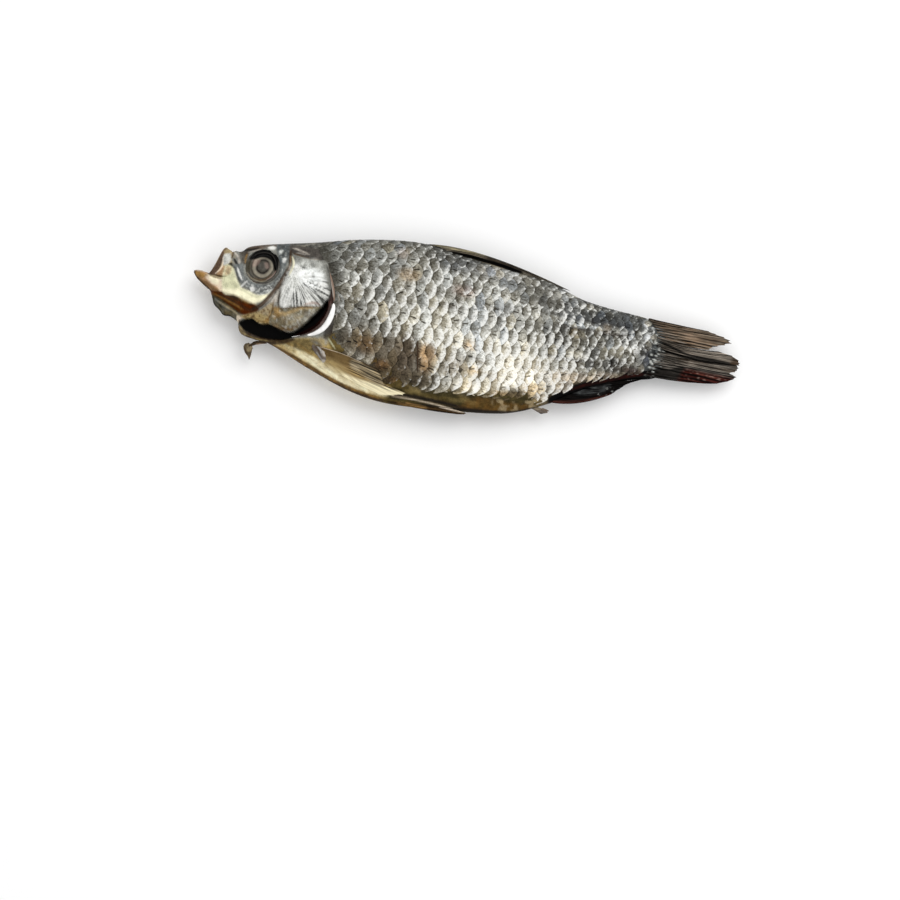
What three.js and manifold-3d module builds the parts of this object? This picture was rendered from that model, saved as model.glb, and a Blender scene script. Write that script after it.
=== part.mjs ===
// A whole dry-cured fish: a deep-bodied silvery freshwater fish with its head, scales and fins on,
// its mouth and gill covers gaping, lying on its right side. One solid, in millimetres.
// +X runs from the head to the tail, +Y from the belly to the back, and +Z up, out of the fish's
// left side. The origin is on the table, below the middle of the fish's length and depth.

import * as THREE from "three";
import { LoftGeometry } from "three/addons/geometries/LoftGeometry.js";
import { mergeVertices } from "three/addons/utils/BufferGeometryUtils.js";
import Module from "manifold-3d";

const wasm = await Module();
wasm.setup();

// ---- Driving dimensions -------------------------------------------------------------------------

// Outline of the trunk and skull, seen from the left side: [x, y], from the snout to the tail root.
const BACK = [
  [-104, 16.5], [-101, 18.8], [-97, 21.6], [-90, 23.6], [-70, 27.8], [-50, 32.3], [-30, 34.9],
  [-20, 34.7], [0, 31.9], [20, 29.2], [32, 27.8], [48, 22.4], [60, 20.5], [78, 18.9], [92, 15],
];
const BELLY = [
  [-104, -2], [-100, -8], [-97, -14.6], [-90, -17.9], [-83, -19], [-65, -26.7], [-45, -33.7],
  [-28, -36.2], [0, -34.7], [20, -32.6], [30, -29.8], [42, -24.2], [60, -15.3], [72, -9.4],
  [84, -6.6], [92, -3],
];
// Half the fish's thickness, and the height of its middle plane over the table, along X.
const HALF_THICKNESS = [
  [-104, 5], [-90, 7.7], [-75, 9.3], [-55, 10.2], [-35, 10.9], [-10, 10.9], [10, 10.3], [25, 9.5],
  [40, 8.2], [55, 6.6], [70, 5], [84, 2.9], [92, 1.1],
];
const MIDDLE_PLANE = [[-120, 10.6], [-60, 10.3], [-20, 10.1], [20, 9.8], [50, 9.1], [80, 8.2], [120, 7.4]];

const FULLNESS = 0.55; // 0.5 is an ellipse, more gives a sharper back and belly
const BACK_HEAVY = 0.14; // how much thicker a section is towards the back
const ROW_SPREAD = 0.2; // evens out the spacing of scale rows round a section

const SCALE_ROWS = 13; // on each side
const BELLY_ROW = SCALE_ROWS + 1; // the back edge is row 0, and the belly edge this one
const SCALE_PITCH = 5.2; // along the body, at the shoulder
const PITCH_SHRINK = 0.0125; // how much shorter a scale is for each millimetre towards the tail
const SCALE_RELIEF = 0.8; // the slope of a scale: how far it would stand off the skin after one pitch
const STATIONS_PER_SCALE = 2;
const ROUNDING = 1e-6;
const SHOULDER = { x: -54.6, y: -10, curve: 0.0098 }; // front edge of the scales, a parabola
const SCALES_START_X = -71;
const SCALES_END_X = 83;
const SNOUT_X = -104;
const TRUNK_END_X = 92;
const HEAD_STATIONS = 12;
const TAIL_ROOT_STATIONS = 4;
// Lower edge of the scales, above the bare throat and belly.
const BARE_BELLY = [[-55, -12], [-40, -18], [-28, -25], [-14, -28.5], [6, -28.5], [20, -26], [32, -36]];

const EYE = { x: -90.5, y: 13.3, socket: 7.6, ball: 4.9, depth: 2.4, sunk: 0.2 }; // radii and depths
const GILL_WEB = 2; // half the flesh left between the two gill slits

const TAIL_RAYS = 12;
const TAIL = { root: 0.9, tip: 0.5, ridge: 0.28, fold: 1.3, foldAt: 0.56 }; // half thicknesses, steps
const PECTORAL_RAYS = 7;
const PECTORAL = { lift: 1.1, buried: 1.6, ridge: 0.22 };

// ---- Helpers ------------------------------------------------------------------------------------

/** A smooth curve y(x) through points: cubic Hermite pieces with Catmull-Rom slopes. */
function through(points) {
  const last = points.length - 1;
  const slope = (i) => {
    const a = points[Math.max(i - 1, 0)];
    const b = points[Math.min(i + 1, last)];
    return (b[1] - a[1]) / (b[0] - a[0]);
  };
  return (x) => {
    let i = 0;
    while (i < last - 1 && x > points[i + 1][0]) i += 1;
    const [x0, y0] = points[i];
    const [x1, y1] = points[i + 1];
    const w = x1 - x0;
    const t = THREE.MathUtils.clamp((x - x0) / w, 0, 1);
    const rise = t * t * (3 - 2 * t);
    const lean = t * (1 - t) * ((1 - t) * slope(i) - t * slope(i + 1)) * w;
    return y0 + (y1 - y0) * rise + lean;
  };
}

/** A closed geometry as a manifold solid, with its faces checked to point out. */
function solid(geometry) {
  const bare = new THREE.BufferGeometry();
  bare.setAttribute("position", geometry.getAttribute("position"));
  bare.setIndex(geometry.index);
  const merged = mergeVertices(bare, 1e-4);
  const corners = merged.index.array;
  const kept = [];
  for (let i = 0; i < corners.length; i += 3) {
    const [a, b, c] = corners.slice(i, i + 3);
    if (a !== b && b !== c && c !== a) kept.push(a, b, c);
  }
  const mesh = new wasm.Mesh({
    numProp: 3,
    vertProperties: new Float32Array(merged.attributes.position.array),
    triVerts: new Uint32Array(kept),
  });
  const made = new wasm.Manifold(mesh);
  if (made.volume() <= 0) throw new Error("a geometry is inside out");
  return made;
}

/** A solid through closed rings of points, capped at its end, and at its start unless that is one point. */
function loft(rings, capStart = true) {
  return solid(new LoftGeometry(rings, { closed: true, capStart, capEnd: true }));
}

/** Evenly spaced numbers from a to b, both ends included. */
function steps(a, b, count) {
  return Array.from({ length: count + 1 }, (_, i) => a + ((b - a) * i) / count);
}

// ---- The trunk's form ---------------------------------------------------------------------------

const back = through(BACK);
const belly = through(BELLY);
const halfThickness = through(HALF_THICKNESS);
const middle = through(MIDDLE_PLANE);
const bareBelly = through(BARE_BELLY);

/** How far a section bulges at a height c, from -1 at the belly edge to 1 at the back edge. */
function bulge(c) {
  return Math.pow(Math.max(1 - c * c, 0), FULLNESS) * (1 + BACK_HEAVY * c);
}

/** Distance of the flank from the middle plane at x, y. */
function flank(x, y) {
  const centre = (back(x) + belly(x)) / 2;
  const depth = (back(x) - belly(x)) / 2;
  return halfThickness(x) * bulge(THREE.MathUtils.clamp((y - centre) / depth, -1, 1));
}

/**
 * Point of the skin at x. turn goes from 0 at the back edge to 1 at the belly edge, side is 1 on
 * the left and -1 on the right, and lift(y) is how far the point stands off.
 */
function skin(x, turn, side, lift) {
  const angle = Math.PI * turn + ROW_SPREAD * Math.sin(2 * Math.PI * turn);
  const c = Math.cos(angle);
  const s = Math.sin(angle);
  const depth = (back(x) - belly(x)) / 2;
  const half = halfThickness(x);
  const y = (back(x) + belly(x)) / 2 + depth * c;
  const out = lift(y) / Math.hypot(half * c, depth * s);
  return new THREE.Vector3(x, y + out * half * c, middle(x) + side * (half * bulge(c) + out * depth * s));
}

/** Number of scales from the start of the scales to x, as their pitch shrinks evenly. */
function scaleCount(x) {
  return Math.log(SCALE_PITCH / (SCALE_PITCH - PITCH_SHRINK * (x - SCALES_START_X))) / PITCH_SHRINK;
}

/** The x that has a given number of scales before it. */
function scaleX(count) {
  return SCALES_START_X + (SCALE_PITCH * (1 - Math.exp(-PITCH_SHRINK * count))) / PITCH_SHRINK;
}

/** How far along its own scale, from 0 to 1, the point of a row at x is. Odd rows are staggered. */
function alongScale(x, row) {
  return (scaleCount(x) + (row % 2 ? 0.5 : 0) + ROUNDING) % 1;
}

/** Lift of a scaled row: each scale rises towards its rear edge and drops under the next one. */
function scaleLift(x, row) {
  return (y) => {
    const shoulder = SHOULDER.x - SHOULDER.curve * (y - SHOULDER.y) ** 2;
    if (x < shoulder || x > SCALES_END_X || y < bareBelly(x)) return 0;
    return SCALE_RELIEF * alongScale(x, row);
  };
}

/** Ring of skin points at x, with one point for each row of scales and one on either edge. */
function trunkRing(x) {
  const half = (side) => steps(0, 1, BELLY_ROW).map((turn, row) => skin(x, turn, side, scaleLift(x, row)));
  return [...half(1), ...half(-1).slice(1, BELLY_ROW).reverse()];
}

/** Turns the diagonals of a loft's wall that join two raised points, so that each scale stands alone. */
function partScales(geometry, stations) {
  const columns = 2 * BELLY_ROW;
  const raised = (vertex) => {
    const x = stations[Math.floor(vertex / (columns + 1))];
    const column = vertex % (columns + 1);
    const row = Math.min(column, columns - column);
    return x > SCALES_START_X && x < SCALES_END_X && alongScale(x, row) > 0.25;
  };
  const index = geometry.index.array;
  for (let i = 0; i < 6 * (stations.length - 1) * columns; i += 6) {
    const [a, b, d, , c] = index.slice(i, i + 5);
    if (raised(b) && raised(d)) index.set([a, b, c, a, c, d], i);
  }
}

function makeTrunk() {
  const count = Math.floor(scaleCount(SCALES_END_X) * STATIONS_PER_SCALE);
  const scaled = steps(0, count / STATIONS_PER_SCALE, count).map(scaleX);
  const stations = [
    ...steps(SNOUT_X, SCALES_START_X, HEAD_STATIONS).slice(0, -1),
    ...scaled,
    ...steps(scaled[count], TRUNK_END_X, TAIL_ROOT_STATIONS).slice(1),
  ];
  const geometry = new LoftGeometry(stations.map(trunkRing), { closed: true, capStart: true, capEnd: true });
  partScales(geometry, stations);
  return solid(geometry);
}

// ---- Jaws, fins and scraps as bands with a lens section ------------------------------------------

const BAND_SIDES = 10;

/** A band along X. Each station is [x, upper y, lower y, half thickness]; offset lifts it in Z. */
function band(stations, offset = 0) {
  const rings = stations.map(([x, high, low, half]) =>
    steps(0, 2 * Math.PI, BAND_SIDES).slice(0, -1).map((angle) => {
      const y = (high + low) / 2 + ((high - low) / 2) * Math.cos(angle);
      return new THREE.Vector3(x, y, middle(x) + offset + half * Math.sin(angle));
    }),
  );
  return loft(rings);
}

const UPPER_JAW = [
  [-112.9, 8.6, 7, 2], [-111.6, 12, 6.4, 2.9], [-109.6, 17.4, 5.6, 3.8], [-108, 18.8, 5, 4.4],
  [-105.6, 17.7, 3, 5.1], [-103.6, 18.5, 1, 5.6], [-99, 19, -1, 6.3],
];
const LOWER_JAW = [
  [-120.3, 6.9, 5.4, 0.9], [-117.5, 7.4, 3, 1.9], [-115, 7.2, 1.2, 2.7], [-111.5, 8.4, -1.4, 3.8],
  [-108.5, 9.5, -5.6, 4.6], [-105, 9, -10, 5.3], [-100, 6, -10.9, 5.9], [-93, 0, -13, 6.4],
];
const MOUTH = [
  [-121, 9, 6.7, 0.5], [-116, 11, 4.4, 1.5], [-112, 12.5, 2.4, 2.2], [-108, 12.4, 1.5, 2.9],
  [-103, 9.5, 1.8, 2.5], [-98, 6, 3, 1],
];
const DORSAL_FIN = [
  [-22, 35, 33.6, 0.6], [-14, 36.2, 33, 1.5], [-8, 36.6, 32.2, 1.9], [0, 35.9, 30.8, 2],
  [10, 34.2, 29.2, 1.8], [20, 31.3, 28, 1.4], [30, 28.8, 26.6, 1], [42, 25, 23.8, 0.6],
];
const ANAL_FIN = [
  [40, -22, -24.8, 0.8], [46, -19.5, -23.8, 1.5], [53, -16.5, -22, 1.9], [60, -13.5, -19.8, 1.9],
  [66, -10.5, -17.2, 1.6], [70, -8.5, -13.6, 1.3], [75, -6.6, -9.8, 0.9], [80, -5.6, -7.6, 0.6],
];
const PELVIC_FIN = [
  [-31, -33, -35.4, 0.8], [-22, -32.8, -36, 1.5], [-10, -33, -36.2, 1.3], [0, -33.2, -35.8, 1],
  [6.5, -34.4, -35.4, 0.5],
];
const PELVIC_SPREAD = 2.2; // each pelvic fin's distance from the middle plane

// ---- Fins made of rays: fans with a ridge on each ray -------------------------------------------

/**
 * A fan of rays. root(r) and tip(r) are the ends of the ray at r, from 0 to 1 across the fan, and
 * face(point, r, s, top) gives the height of its upper or lower face. side -1 turns the rings round.
 */
function fan(rays, along, root, tip, face, side = 1) {
  const rings = steps(0, 1, 2 * rays).map((r) => {
    const line = steps(0, 1, along).map((s) => root(r).lerp(tip(r), s));
    const lay = (top) =>
      line.map((p, i) => new THREE.Vector3(p.x, p.y, face(p, r, i / along, top)));
    return [...lay(false), ...lay(true).reverse()];
  });
  return loft(side > 0 ? rings : rings.reverse());
}

/** The point at r, from 0 to 1, along a polyline of [x, y] corners spaced evenly in r. */
function polyline(corners) {
  return (r) => {
    const at = r * (corners.length - 1);
    const i = Math.min(Math.floor(at), corners.length - 2);
    const a = new THREE.Vector2(...corners[i]);
    return a.lerp(new THREE.Vector2(...corners[i + 1]), at - i);
  };
}

// The ragged end of the tail: the short upper lobe, a deep notch, and the two bundles below it.
const TAIL_ENDS = [
  [105, 18], [111, 16.8], [114, 15.1], [112.6, 13.2], [107.5, 11], [107.5, 10], [115, 9], [119.2, 8],
  [120.3, 5.5], [120.4, 3.4], [117.2, 1.4], [119.4, 0.2], [118.2, -2], [110, -4.2], [102, -5],
];
const TAIL_ROOT = [[78, 18.8], [82, 16], [84, 11], [84, 5], [83, -1], [80, -5.5], [78, -7.8]];

/** Fin ridge at r: one crest on each ray, and none where the fin's edge is. */
function ridge(r, rays) {
  return 0.5 - 0.5 * Math.cos(2 * Math.PI * rays * r);
}

function makeTail() {
  const face = (p, r, s, top) => {
    const half = THREE.MathUtils.lerp(TAIL.root, TAIL.tip, s);
    const fold = TAIL.fold * THREE.MathUtils.smoothstep(r, TAIL.foldAt - 0.5, TAIL.foldAt);
    const step = r > TAIL.foldAt ? 0 : fold * (0.4 + 0.6 * s);
    const crest = TAIL.ridge * ridge(r, TAIL_RAYS) * (1 - 0.4 * s);
    return middle(p.x) + step + (top ? half + crest : -half - crest);
  };
  return fan(TAIL_RAYS, 4, polyline(TAIL_ROOT), polyline(TAIL_ENDS), face);
}

const PECTORAL_ROOT = [[-61, -17.3], [-60, -20.5], [-58, -24]];
const PECTORAL_TIPS = [[-33, -24.9], [-30, -28.3], [-21, -30.4], [-22, -31.3], [-33, -33.4], [-44, -31.4]];

function makePectoral(side) {
  const face = (p, r, s, top) => {
    const crest = PECTORAL.ridge * ridge(r, PECTORAL_RAYS);
    const off = top ? PECTORAL.lift + crest : -PECTORAL.buried;
    return middle(p.x) + side * Math.max(flank(p.x, p.y) + off, top ? PECTORAL.lift : 0);
  };
  return fan(PECTORAL_RAYS, 6, polyline(PECTORAL_ROOT), polyline(PECTORAL_TIPS), face, side);
}

// ---- Bones of the head: plates and ribs that stand off the skin ----------------------------------

const GILL_COVER = [
  [-78.6, 19.4], [-71, 20.3], [-64.5, 19.6], [-61.3, 14], [-60, 7], [-61.2, 1], [-65, -0.7],
  [-72, -1.4], [-79.5, -3], [-81, 4], [-79.3, 11],
];
const LOWER_COVER = [
  [-81.5, -3.4], [-76, -2.2], [-70, -1], [-62.4, 0], [-65.6, -5.8], [-70, -10], [-74.5, -12.6],
  [-79, -12.3], [-83.6, -10.8], [-84, -6.5],
];
const CHEEK = [
  [-104.6, 1.6], [-101, 5.6], [-95.4, 4.2], [-90.5, 3.4], [-85.4, 4.2], [-87, -0.8], [-90.4, -5],
  [-95, -7.2], [-100.4, -4],
];
const PLATE_SIDES = 20;
const PLATE_RINGS = [0, 0.45, 0.75, 0.95]; // fractions of the way from the middle to the rim
const PLATE_ROOT = 1.6; // how far a plate reaches into the head

/** A domed plate over the flank inside a closed rim of [x, y] corners. */
function plate(rim, middleOf, lift, side) {
  const corners = rim.map(([x, y]) => new THREE.Vector3(x, y, 0));
  const curve = new THREE.CatmullRomCurve3(corners, true, "centripetal");
  const heart = new THREE.Vector3(...middleOf, 0);
  const at = (fraction, off) =>
    curve.getPoints(PLATE_SIDES).slice(0, -1).map((p) => {
      p.lerp(heart, 1 - fraction);
      return p.setZ(middle(p.x) + side * (flank(p.x, p.y) + off));
    });
  const rings = [
    ...PLATE_RINGS.map((f) => at(f, lift * (1 - 0.4 * f ** 4))),
    at(1, 0.1 * lift),
    at(1, -PLATE_ROOT),
  ];
  const clockwise = THREE.ShapeUtils.area(corners) * side < 0;
  return loft(clockwise ? rings : rings.map((ring) => [...ring].reverse()), false);
}

/** A rib of elliptical section along a path of points, thinning out towards both ends. */
function rib(points, width, height, sides = 6, count = 7) {
  const curve = new THREE.CatmullRomCurve3(points.map((p) => new THREE.Vector3(...p)));
  const up = new THREE.Vector3(0, 0, 1);
  const rings = steps(0, 1, count).map((s) => {
    const centre = curve.getPoint(s);
    const across = new THREE.Vector3().crossVectors(up, curve.getTangent(s)).normalize();
    const size = 0.25 + 0.75 * Math.sin(Math.PI * (0.06 + 0.88 * s)) ** 0.6;
    return steps(0, 2 * Math.PI, sides).slice(0, -1).map((angle) =>
      centre.clone()
        .addScaledVector(across, (width / 2) * size * Math.cos(angle))
        .addScaledVector(up, (height / 2) * size * Math.sin(angle)),
    );
  });
  return loft(rings);
}

// Corners [x, y] of the ridge behind the cheek, the shoulder bone behind the gill slit and the knob
// that the pectoral fin grows from.
const CHEEK_RIDGE = [[-80.4, 21.6], [-79.4, 16], [-81.6, 8.6], [-85, 2], [-89.6, -4.8], [-95.4, -8]];
const SHOULDER_BONE = [
  [-59.6, 13], [-57.6, 6], [-56.8, 1], [-57.4, -5], [-61, -10.2], [-66, -12.8], [-72, -14],
];
const FIN_KNOB = [[-64.5, -16.6], [-61, -19.4], [-57.4, -23]];
// Corners [x, y, z] of the dried scraps of membrane that hang from the throat and the vent.
const THROAT_SCRAP = [
  [-85, -17.8, 10], [-89, -19.4, 9], [-92.6, -21.6, 8], [-93, -24, 7.4], [-91.4, -26.2, 7],
];
const VENT_SCRAP = [[33, -26.5, 9], [36.5, -28, 8.6], [39.5, -28.6, 8], [41.6, -28.4, 7.6]];

/** Path on the flank through [x, y] corners, off by a lift. */
function onFlank(corners, lift, side) {
  return corners.map(([x, y]) => [x, y, middle(x) + side * (flank(x, y) + lift)]);
}

// ---- Hollows ------------------------------------------------------------------------------------

// The gaping gill slit: its upper edge from the throat to the shoulder, and its lower edge back.
const GILL_UPPER = [
  [-97.6, -12], [-92, -10.2], [-86, -11.4], [-79, -13], [-74, -13.2], [-69, -9.2], [-64, -3.6],
  [-60.4, 3], [-59.6, 8],
];
const GILL_LOWER = [
  [-58.8, 3], [-60.4, -3], [-64, -8], [-69, -11.6], [-76, -15.4], [-83, -17], [-91, -16.8],
  [-96.4, -15],
];

function makeGillSlit(side) {
  const shape = new THREE.Shape();
  shape.moveTo(...GILL_UPPER[0]);
  shape.splineThru(GILL_UPPER.slice(1).map((p) => new THREE.Vector2(...p)));
  shape.splineThru(GILL_LOWER.map((p) => new THREE.Vector2(...p)));
  const reach = 20;
  const slit = new THREE.ExtrudeGeometry(shape, { depth: reach, bevelEnabled: false, curveSegments: 2 });
  slit.translate(0, 0, middle(EYE.x) + (side > 0 ? GILL_WEB : -GILL_WEB - reach));
  return solid(slit);
}

/** A turned form about the eye's axis. profile lists [radius, height] from the bottom up. */
function turned(profile, side) {
  const sides = 18;
  const form = new THREE.LatheGeometry(profile.map((p) => new THREE.Vector2(...p)), sides);
  form.rotateX(side * Math.PI / 2);
  form.translate(EYE.x, EYE.y, middle(EYE.x) + side * flank(EYE.x, EYE.y));
  return solid(form);
}

function makeSocket(side) {
  const { socket, depth } = EYE;
  return turned([[0, -depth], [0.62 * socket, -depth], [socket, 0], [socket * 1.1, 4], [0, 4]], side);
}

function makeEyeball(side) {
  const { ball, depth, sunk } = EYE;
  const base = -depth - 1;
  const dome = [[ball, -depth / 2], [0.8 * ball, -3 * sunk], [0, -sunk]];
  return turned([[0, base], [ball, base], ...dome], side);
}

// ---- The whole fish -----------------------------------------------------------------------------

function makeFish() {
  const table = solid(new THREE.BoxGeometry(300, 120, 20).translate(0, 0, -10));
  const both = [1, -1];
  let fish = makeTrunk().add(band(UPPER_JAW)).add(band(LOWER_JAW)).subtract(band(MOUTH));
  for (const side of both) {
    fish = fish.subtract(makeGillSlit(side));
    fish = fish.add(plate(CHEEK, [-94, -1], 0.6, side));
    fish = fish.add(rib(onFlank(CHEEK_RIDGE, 0, side), 2.4, 2));
    fish = fish.subtract(makeSocket(side)).add(makeEyeball(side));
    fish = fish.add(plate(GILL_COVER, [-71, 8], 1.1, side));
    fish = fish.add(plate(LOWER_COVER, [-75, -6.6], 0.8, side));
    fish = fish.add(rib(onFlank(SHOULDER_BONE, 0.1, side), 3, 2.6));
    fish = fish.add(rib(onFlank(FIN_KNOB, 0.2, side), 5, 3)).add(makePectoral(side));
    fish = fish.add(band(PELVIC_FIN, side * PELVIC_SPREAD));
  }
  fish = fish.add(band(DORSAL_FIN, 0.8)).add(band(ANAL_FIN, 0.6)).add(makeTail());
  fish = fish.add(rib(THROAT_SCRAP, 3.4, 1.8)).add(rib(VENT_SCRAP, 3.2, 2));
  return largest(fish.subtract(table));
}

/** The largest body of a solid, without the specks that joining seals off. */
function largest(made) {
  return made.decompose().reduce((a, b) => (b.volume() > a.volume() ? b : a));
}

/** A manifold solid as an indexed geometry. */
function geometryOf(made) {
  const mesh = made.getMesh();
  const geometry = new THREE.BufferGeometry();
  geometry.setAttribute("position", new THREE.BufferAttribute(mesh.vertProperties, 3));
  geometry.setIndex(new THREE.BufferAttribute(mesh.triVerts, 1));
  geometry.computeVertexNormals();
  return geometry;
}

const driedSkin = new THREE.MeshStandardMaterial({ color: 0x9a9a94, roughness: 0.45, metalness: 0.15 });

const fish = new THREE.Mesh(geometryOf(makeFish()), driedSkin);
fish.name = "fish";

const group = new THREE.Group();
group.add(fish);

export default group;
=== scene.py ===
"""A whole dry-cured fish lying on its right side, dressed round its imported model.

The forms are worked out in millimetres in the part's own frame: +X from the head to the tail, +Y from
the belly to the back, +Z up, out of the left side. Meshes are written in metres.
"""

from __future__ import annotations

import logging
import math
from dataclasses import dataclass, field
from enum import Enum
from typing import Callable, Sequence

import bpy
import numpy as np
from mathutils import Matrix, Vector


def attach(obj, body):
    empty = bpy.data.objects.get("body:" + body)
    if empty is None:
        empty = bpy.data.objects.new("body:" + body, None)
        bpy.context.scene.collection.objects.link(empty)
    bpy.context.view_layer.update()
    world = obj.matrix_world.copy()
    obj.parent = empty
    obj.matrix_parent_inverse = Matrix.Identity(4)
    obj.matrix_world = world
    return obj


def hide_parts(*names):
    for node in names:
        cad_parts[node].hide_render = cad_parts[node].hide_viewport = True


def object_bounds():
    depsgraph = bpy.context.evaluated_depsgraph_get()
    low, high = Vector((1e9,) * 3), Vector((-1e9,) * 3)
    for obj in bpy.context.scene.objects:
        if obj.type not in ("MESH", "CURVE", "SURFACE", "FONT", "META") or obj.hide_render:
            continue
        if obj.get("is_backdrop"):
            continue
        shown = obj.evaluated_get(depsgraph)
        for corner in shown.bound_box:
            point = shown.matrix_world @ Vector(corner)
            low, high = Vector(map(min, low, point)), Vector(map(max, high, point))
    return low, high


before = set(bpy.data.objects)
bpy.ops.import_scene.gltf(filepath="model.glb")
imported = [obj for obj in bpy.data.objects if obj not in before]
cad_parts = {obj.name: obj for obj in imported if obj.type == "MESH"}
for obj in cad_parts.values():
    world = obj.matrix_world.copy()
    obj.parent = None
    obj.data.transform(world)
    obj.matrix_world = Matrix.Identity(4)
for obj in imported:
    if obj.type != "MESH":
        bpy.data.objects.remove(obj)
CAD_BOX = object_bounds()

Array = np.ndarray
Colour = tuple[float, float, float]
Points = str  # corners as "x y, x y" or "x y height, x y height"

MM = 0.001
BODY = "root"
NODE = "fish"
LOG = logging.getLogger("fish")
SCALE_STEP = 7.31  # apart from each other are the angles of two scales in their pattern map
ROWS_PER_CORNER = 12  # rings of a strand for each corner of its path
STRAND_SIDES = 20
FIN_ROWS = 48  # points along a ray
STEPS_PER_RAY = 6
MOTTLE_SEED = 40
MOTTLE_CELL = 1.3
POOL_END = 1.25


class Side(Enum):
    """A side of the fish: the left one is up, the right one lies on the table."""

    LEFT = 1
    RIGHT = -1

    def __str__(self) -> str:
        """left or right, as the pieces' names have it."""
        return self.name.lower()


# ---- curves and noise


def numbers(text: str) -> Array:
    """The rows of numbers in a text, which are parted by commas or line ends."""
    rows = text.replace(",", "\n").split("\n")
    return np.array([row.split() for row in rows if row.strip()], float)


def through(points: Points) -> Callable[[Array], Array]:
    """A smooth curve y(x): cubic Hermite pieces whose slopes join each point's two neighbours.

    Args:
        points: The (x, y) corners, with x rising.

    Returns:
        The function of x, flat beyond both ends.
    """
    xs, ys = numbers(points).T
    inner = (ys[2:] - ys[:-2]) / (xs[2:] - xs[:-2])
    ends = [(ys[1] - ys[0]) / (xs[1] - xs[0]), (ys[-1] - ys[-2]) / (xs[-1] - xs[-2])]
    slope = np.concatenate([ends[:1], inner, ends[1:]])

    def curve(x: Array) -> Array:
        """y at x: a cubic step from corner to corner, plus the lean that the slopes give."""
        x = np.asarray(x, float)
        i = np.clip(np.searchsorted(xs, x) - 1, 0, len(xs) - 2)
        w = xs[i + 1] - xs[i]
        t = np.clip((x - xs[i]) / w, 0, 1)
        lean = t * (1 - t) * ((1 - t) * slope[i] - t * slope[i + 1]) * w
        return ys[i] + (ys[i + 1] - ys[i]) * t * t * (3 - 2 * t) + lean

    return curve


def ramp(low: float, high: float, value: Array) -> Array:
    """A smooth step of value, from 0 at low to 1 at high: 3t^2 - 2t^3."""
    t = np.clip((value - low) / (high - low), 0, 1)
    return t * t * (3 - 2 * t)


def sweep(points: Points, t: Array, closed: bool = False) -> Array:
    """Points of a Catmull-Rom curve through corners of any dimension.

    Args:
        points: The corners.
        t: Places along the curve, from 0 at the first corner to 1 at the last one.
        closed: Whether the curve returns to its first corner.

    Returns:
        One point for each t.
    """
    p = numbers(points)
    ends = (p[-1:], p[:2]) if closed else (2 * p[:1] - p[1:2], 2 * p[-1:] - p[-2:-1])
    q = np.concatenate([ends[0], p, ends[1]])
    place = np.clip(np.asarray(t, float), 0, 1) * (len(q) - 3)
    i = np.minimum(place.astype(int), len(q) - 4)
    f = (place - i)[..., None]
    a, b, c, d = q[i], q[i + 1], q[i + 2], q[i + 3]
    return b + 0.5 * f * (c - a + f * (2 * a - 5 * b + 4 * c - d + f * (3 * (b - c) + d - a)))


def spline(points: Points, closed: bool = False, each: int = 6) -> Array:
    """A curve through corners as a polyline, with some steps from corner to corner."""
    spans = points.count(",") + closed
    return sweep(points, np.linspace(0, 1, spans * each + 1), closed)


def noise(points: Array, cell: float, seed: int) -> Array:
    """Smooth noise from -1 to 1: random values at the corners of cubes, blended by cubic steps.

    Args:
        points: Positions, with 2 or 3 numbers in the last axis.
        cell: Side of a cube.
        seed: Picks the random values.

    Returns:
        One value for each point.
    """
    q = np.asarray(points, float) / cell
    low = np.floor(q).astype(np.int64)
    t = q - low
    t = t * t * (3 - 2 * t)
    total = np.zeros(q.shape[:-1])
    for corner in np.ndindex(*(2,) * q.shape[-1]):
        at = low + np.array(corner)
        mixed = at @ np.array([73856093, 19349663, 83492791])[: q.shape[-1]] + seed * 6271
        mixed = (mixed ^ (mixed >> 13)) * 1274126177 & 0x7FFFFFFF
        mixed = (mixed ^ (mixed >> 15)) * 668265263 & 0x7FFFFFFF
        weight = np.where(np.array(corner) == 1, t, 1 - t).prod(-1)
        total += weight * (mixed / 0x3FFFFFFF - 1)
    return total


def path_distance(x: Array, y: Array, path: Array, reach: float) -> tuple[Array, Array]:
    """Distance from points to a polyline, and how far along it the nearest place is.

    Args:
        x, y: Places along and across the fish.
        path: The polyline's corners.
        reach: Points further than this from the polyline's box are left out, as far away.

    Returns:
        The distance, and the place along the polyline from 0 to 1.
    """
    low, high = path.min(0) - reach, path.max(0) + reach
    near = (x >= low[0]) & (x <= high[0]) & (y >= low[1]) & (y <= high[1])
    distance = np.full(x.shape, 1e3)
    along = np.zeros(x.shape)
    px, py = x[near][:, None] - path[:-1, 0], y[near][:, None] - path[:-1, 1]
    d = np.diff(path, axis=0)
    t = np.clip((px * d[:, 0] + py * d[:, 1]) / np.maximum((d**2).sum(1), 1e-9), 0, 1)
    gap = np.hypot(px - t * d[:, 0], py - t * d[:, 1])
    best = gap.argmin(1)[:, None]
    distance[near] = np.take_along_axis(gap, best, 1)[:, 0]
    along[near] = (best + np.take_along_axis(t, best, 1))[:, 0] / len(d)
    return distance, along


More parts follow.
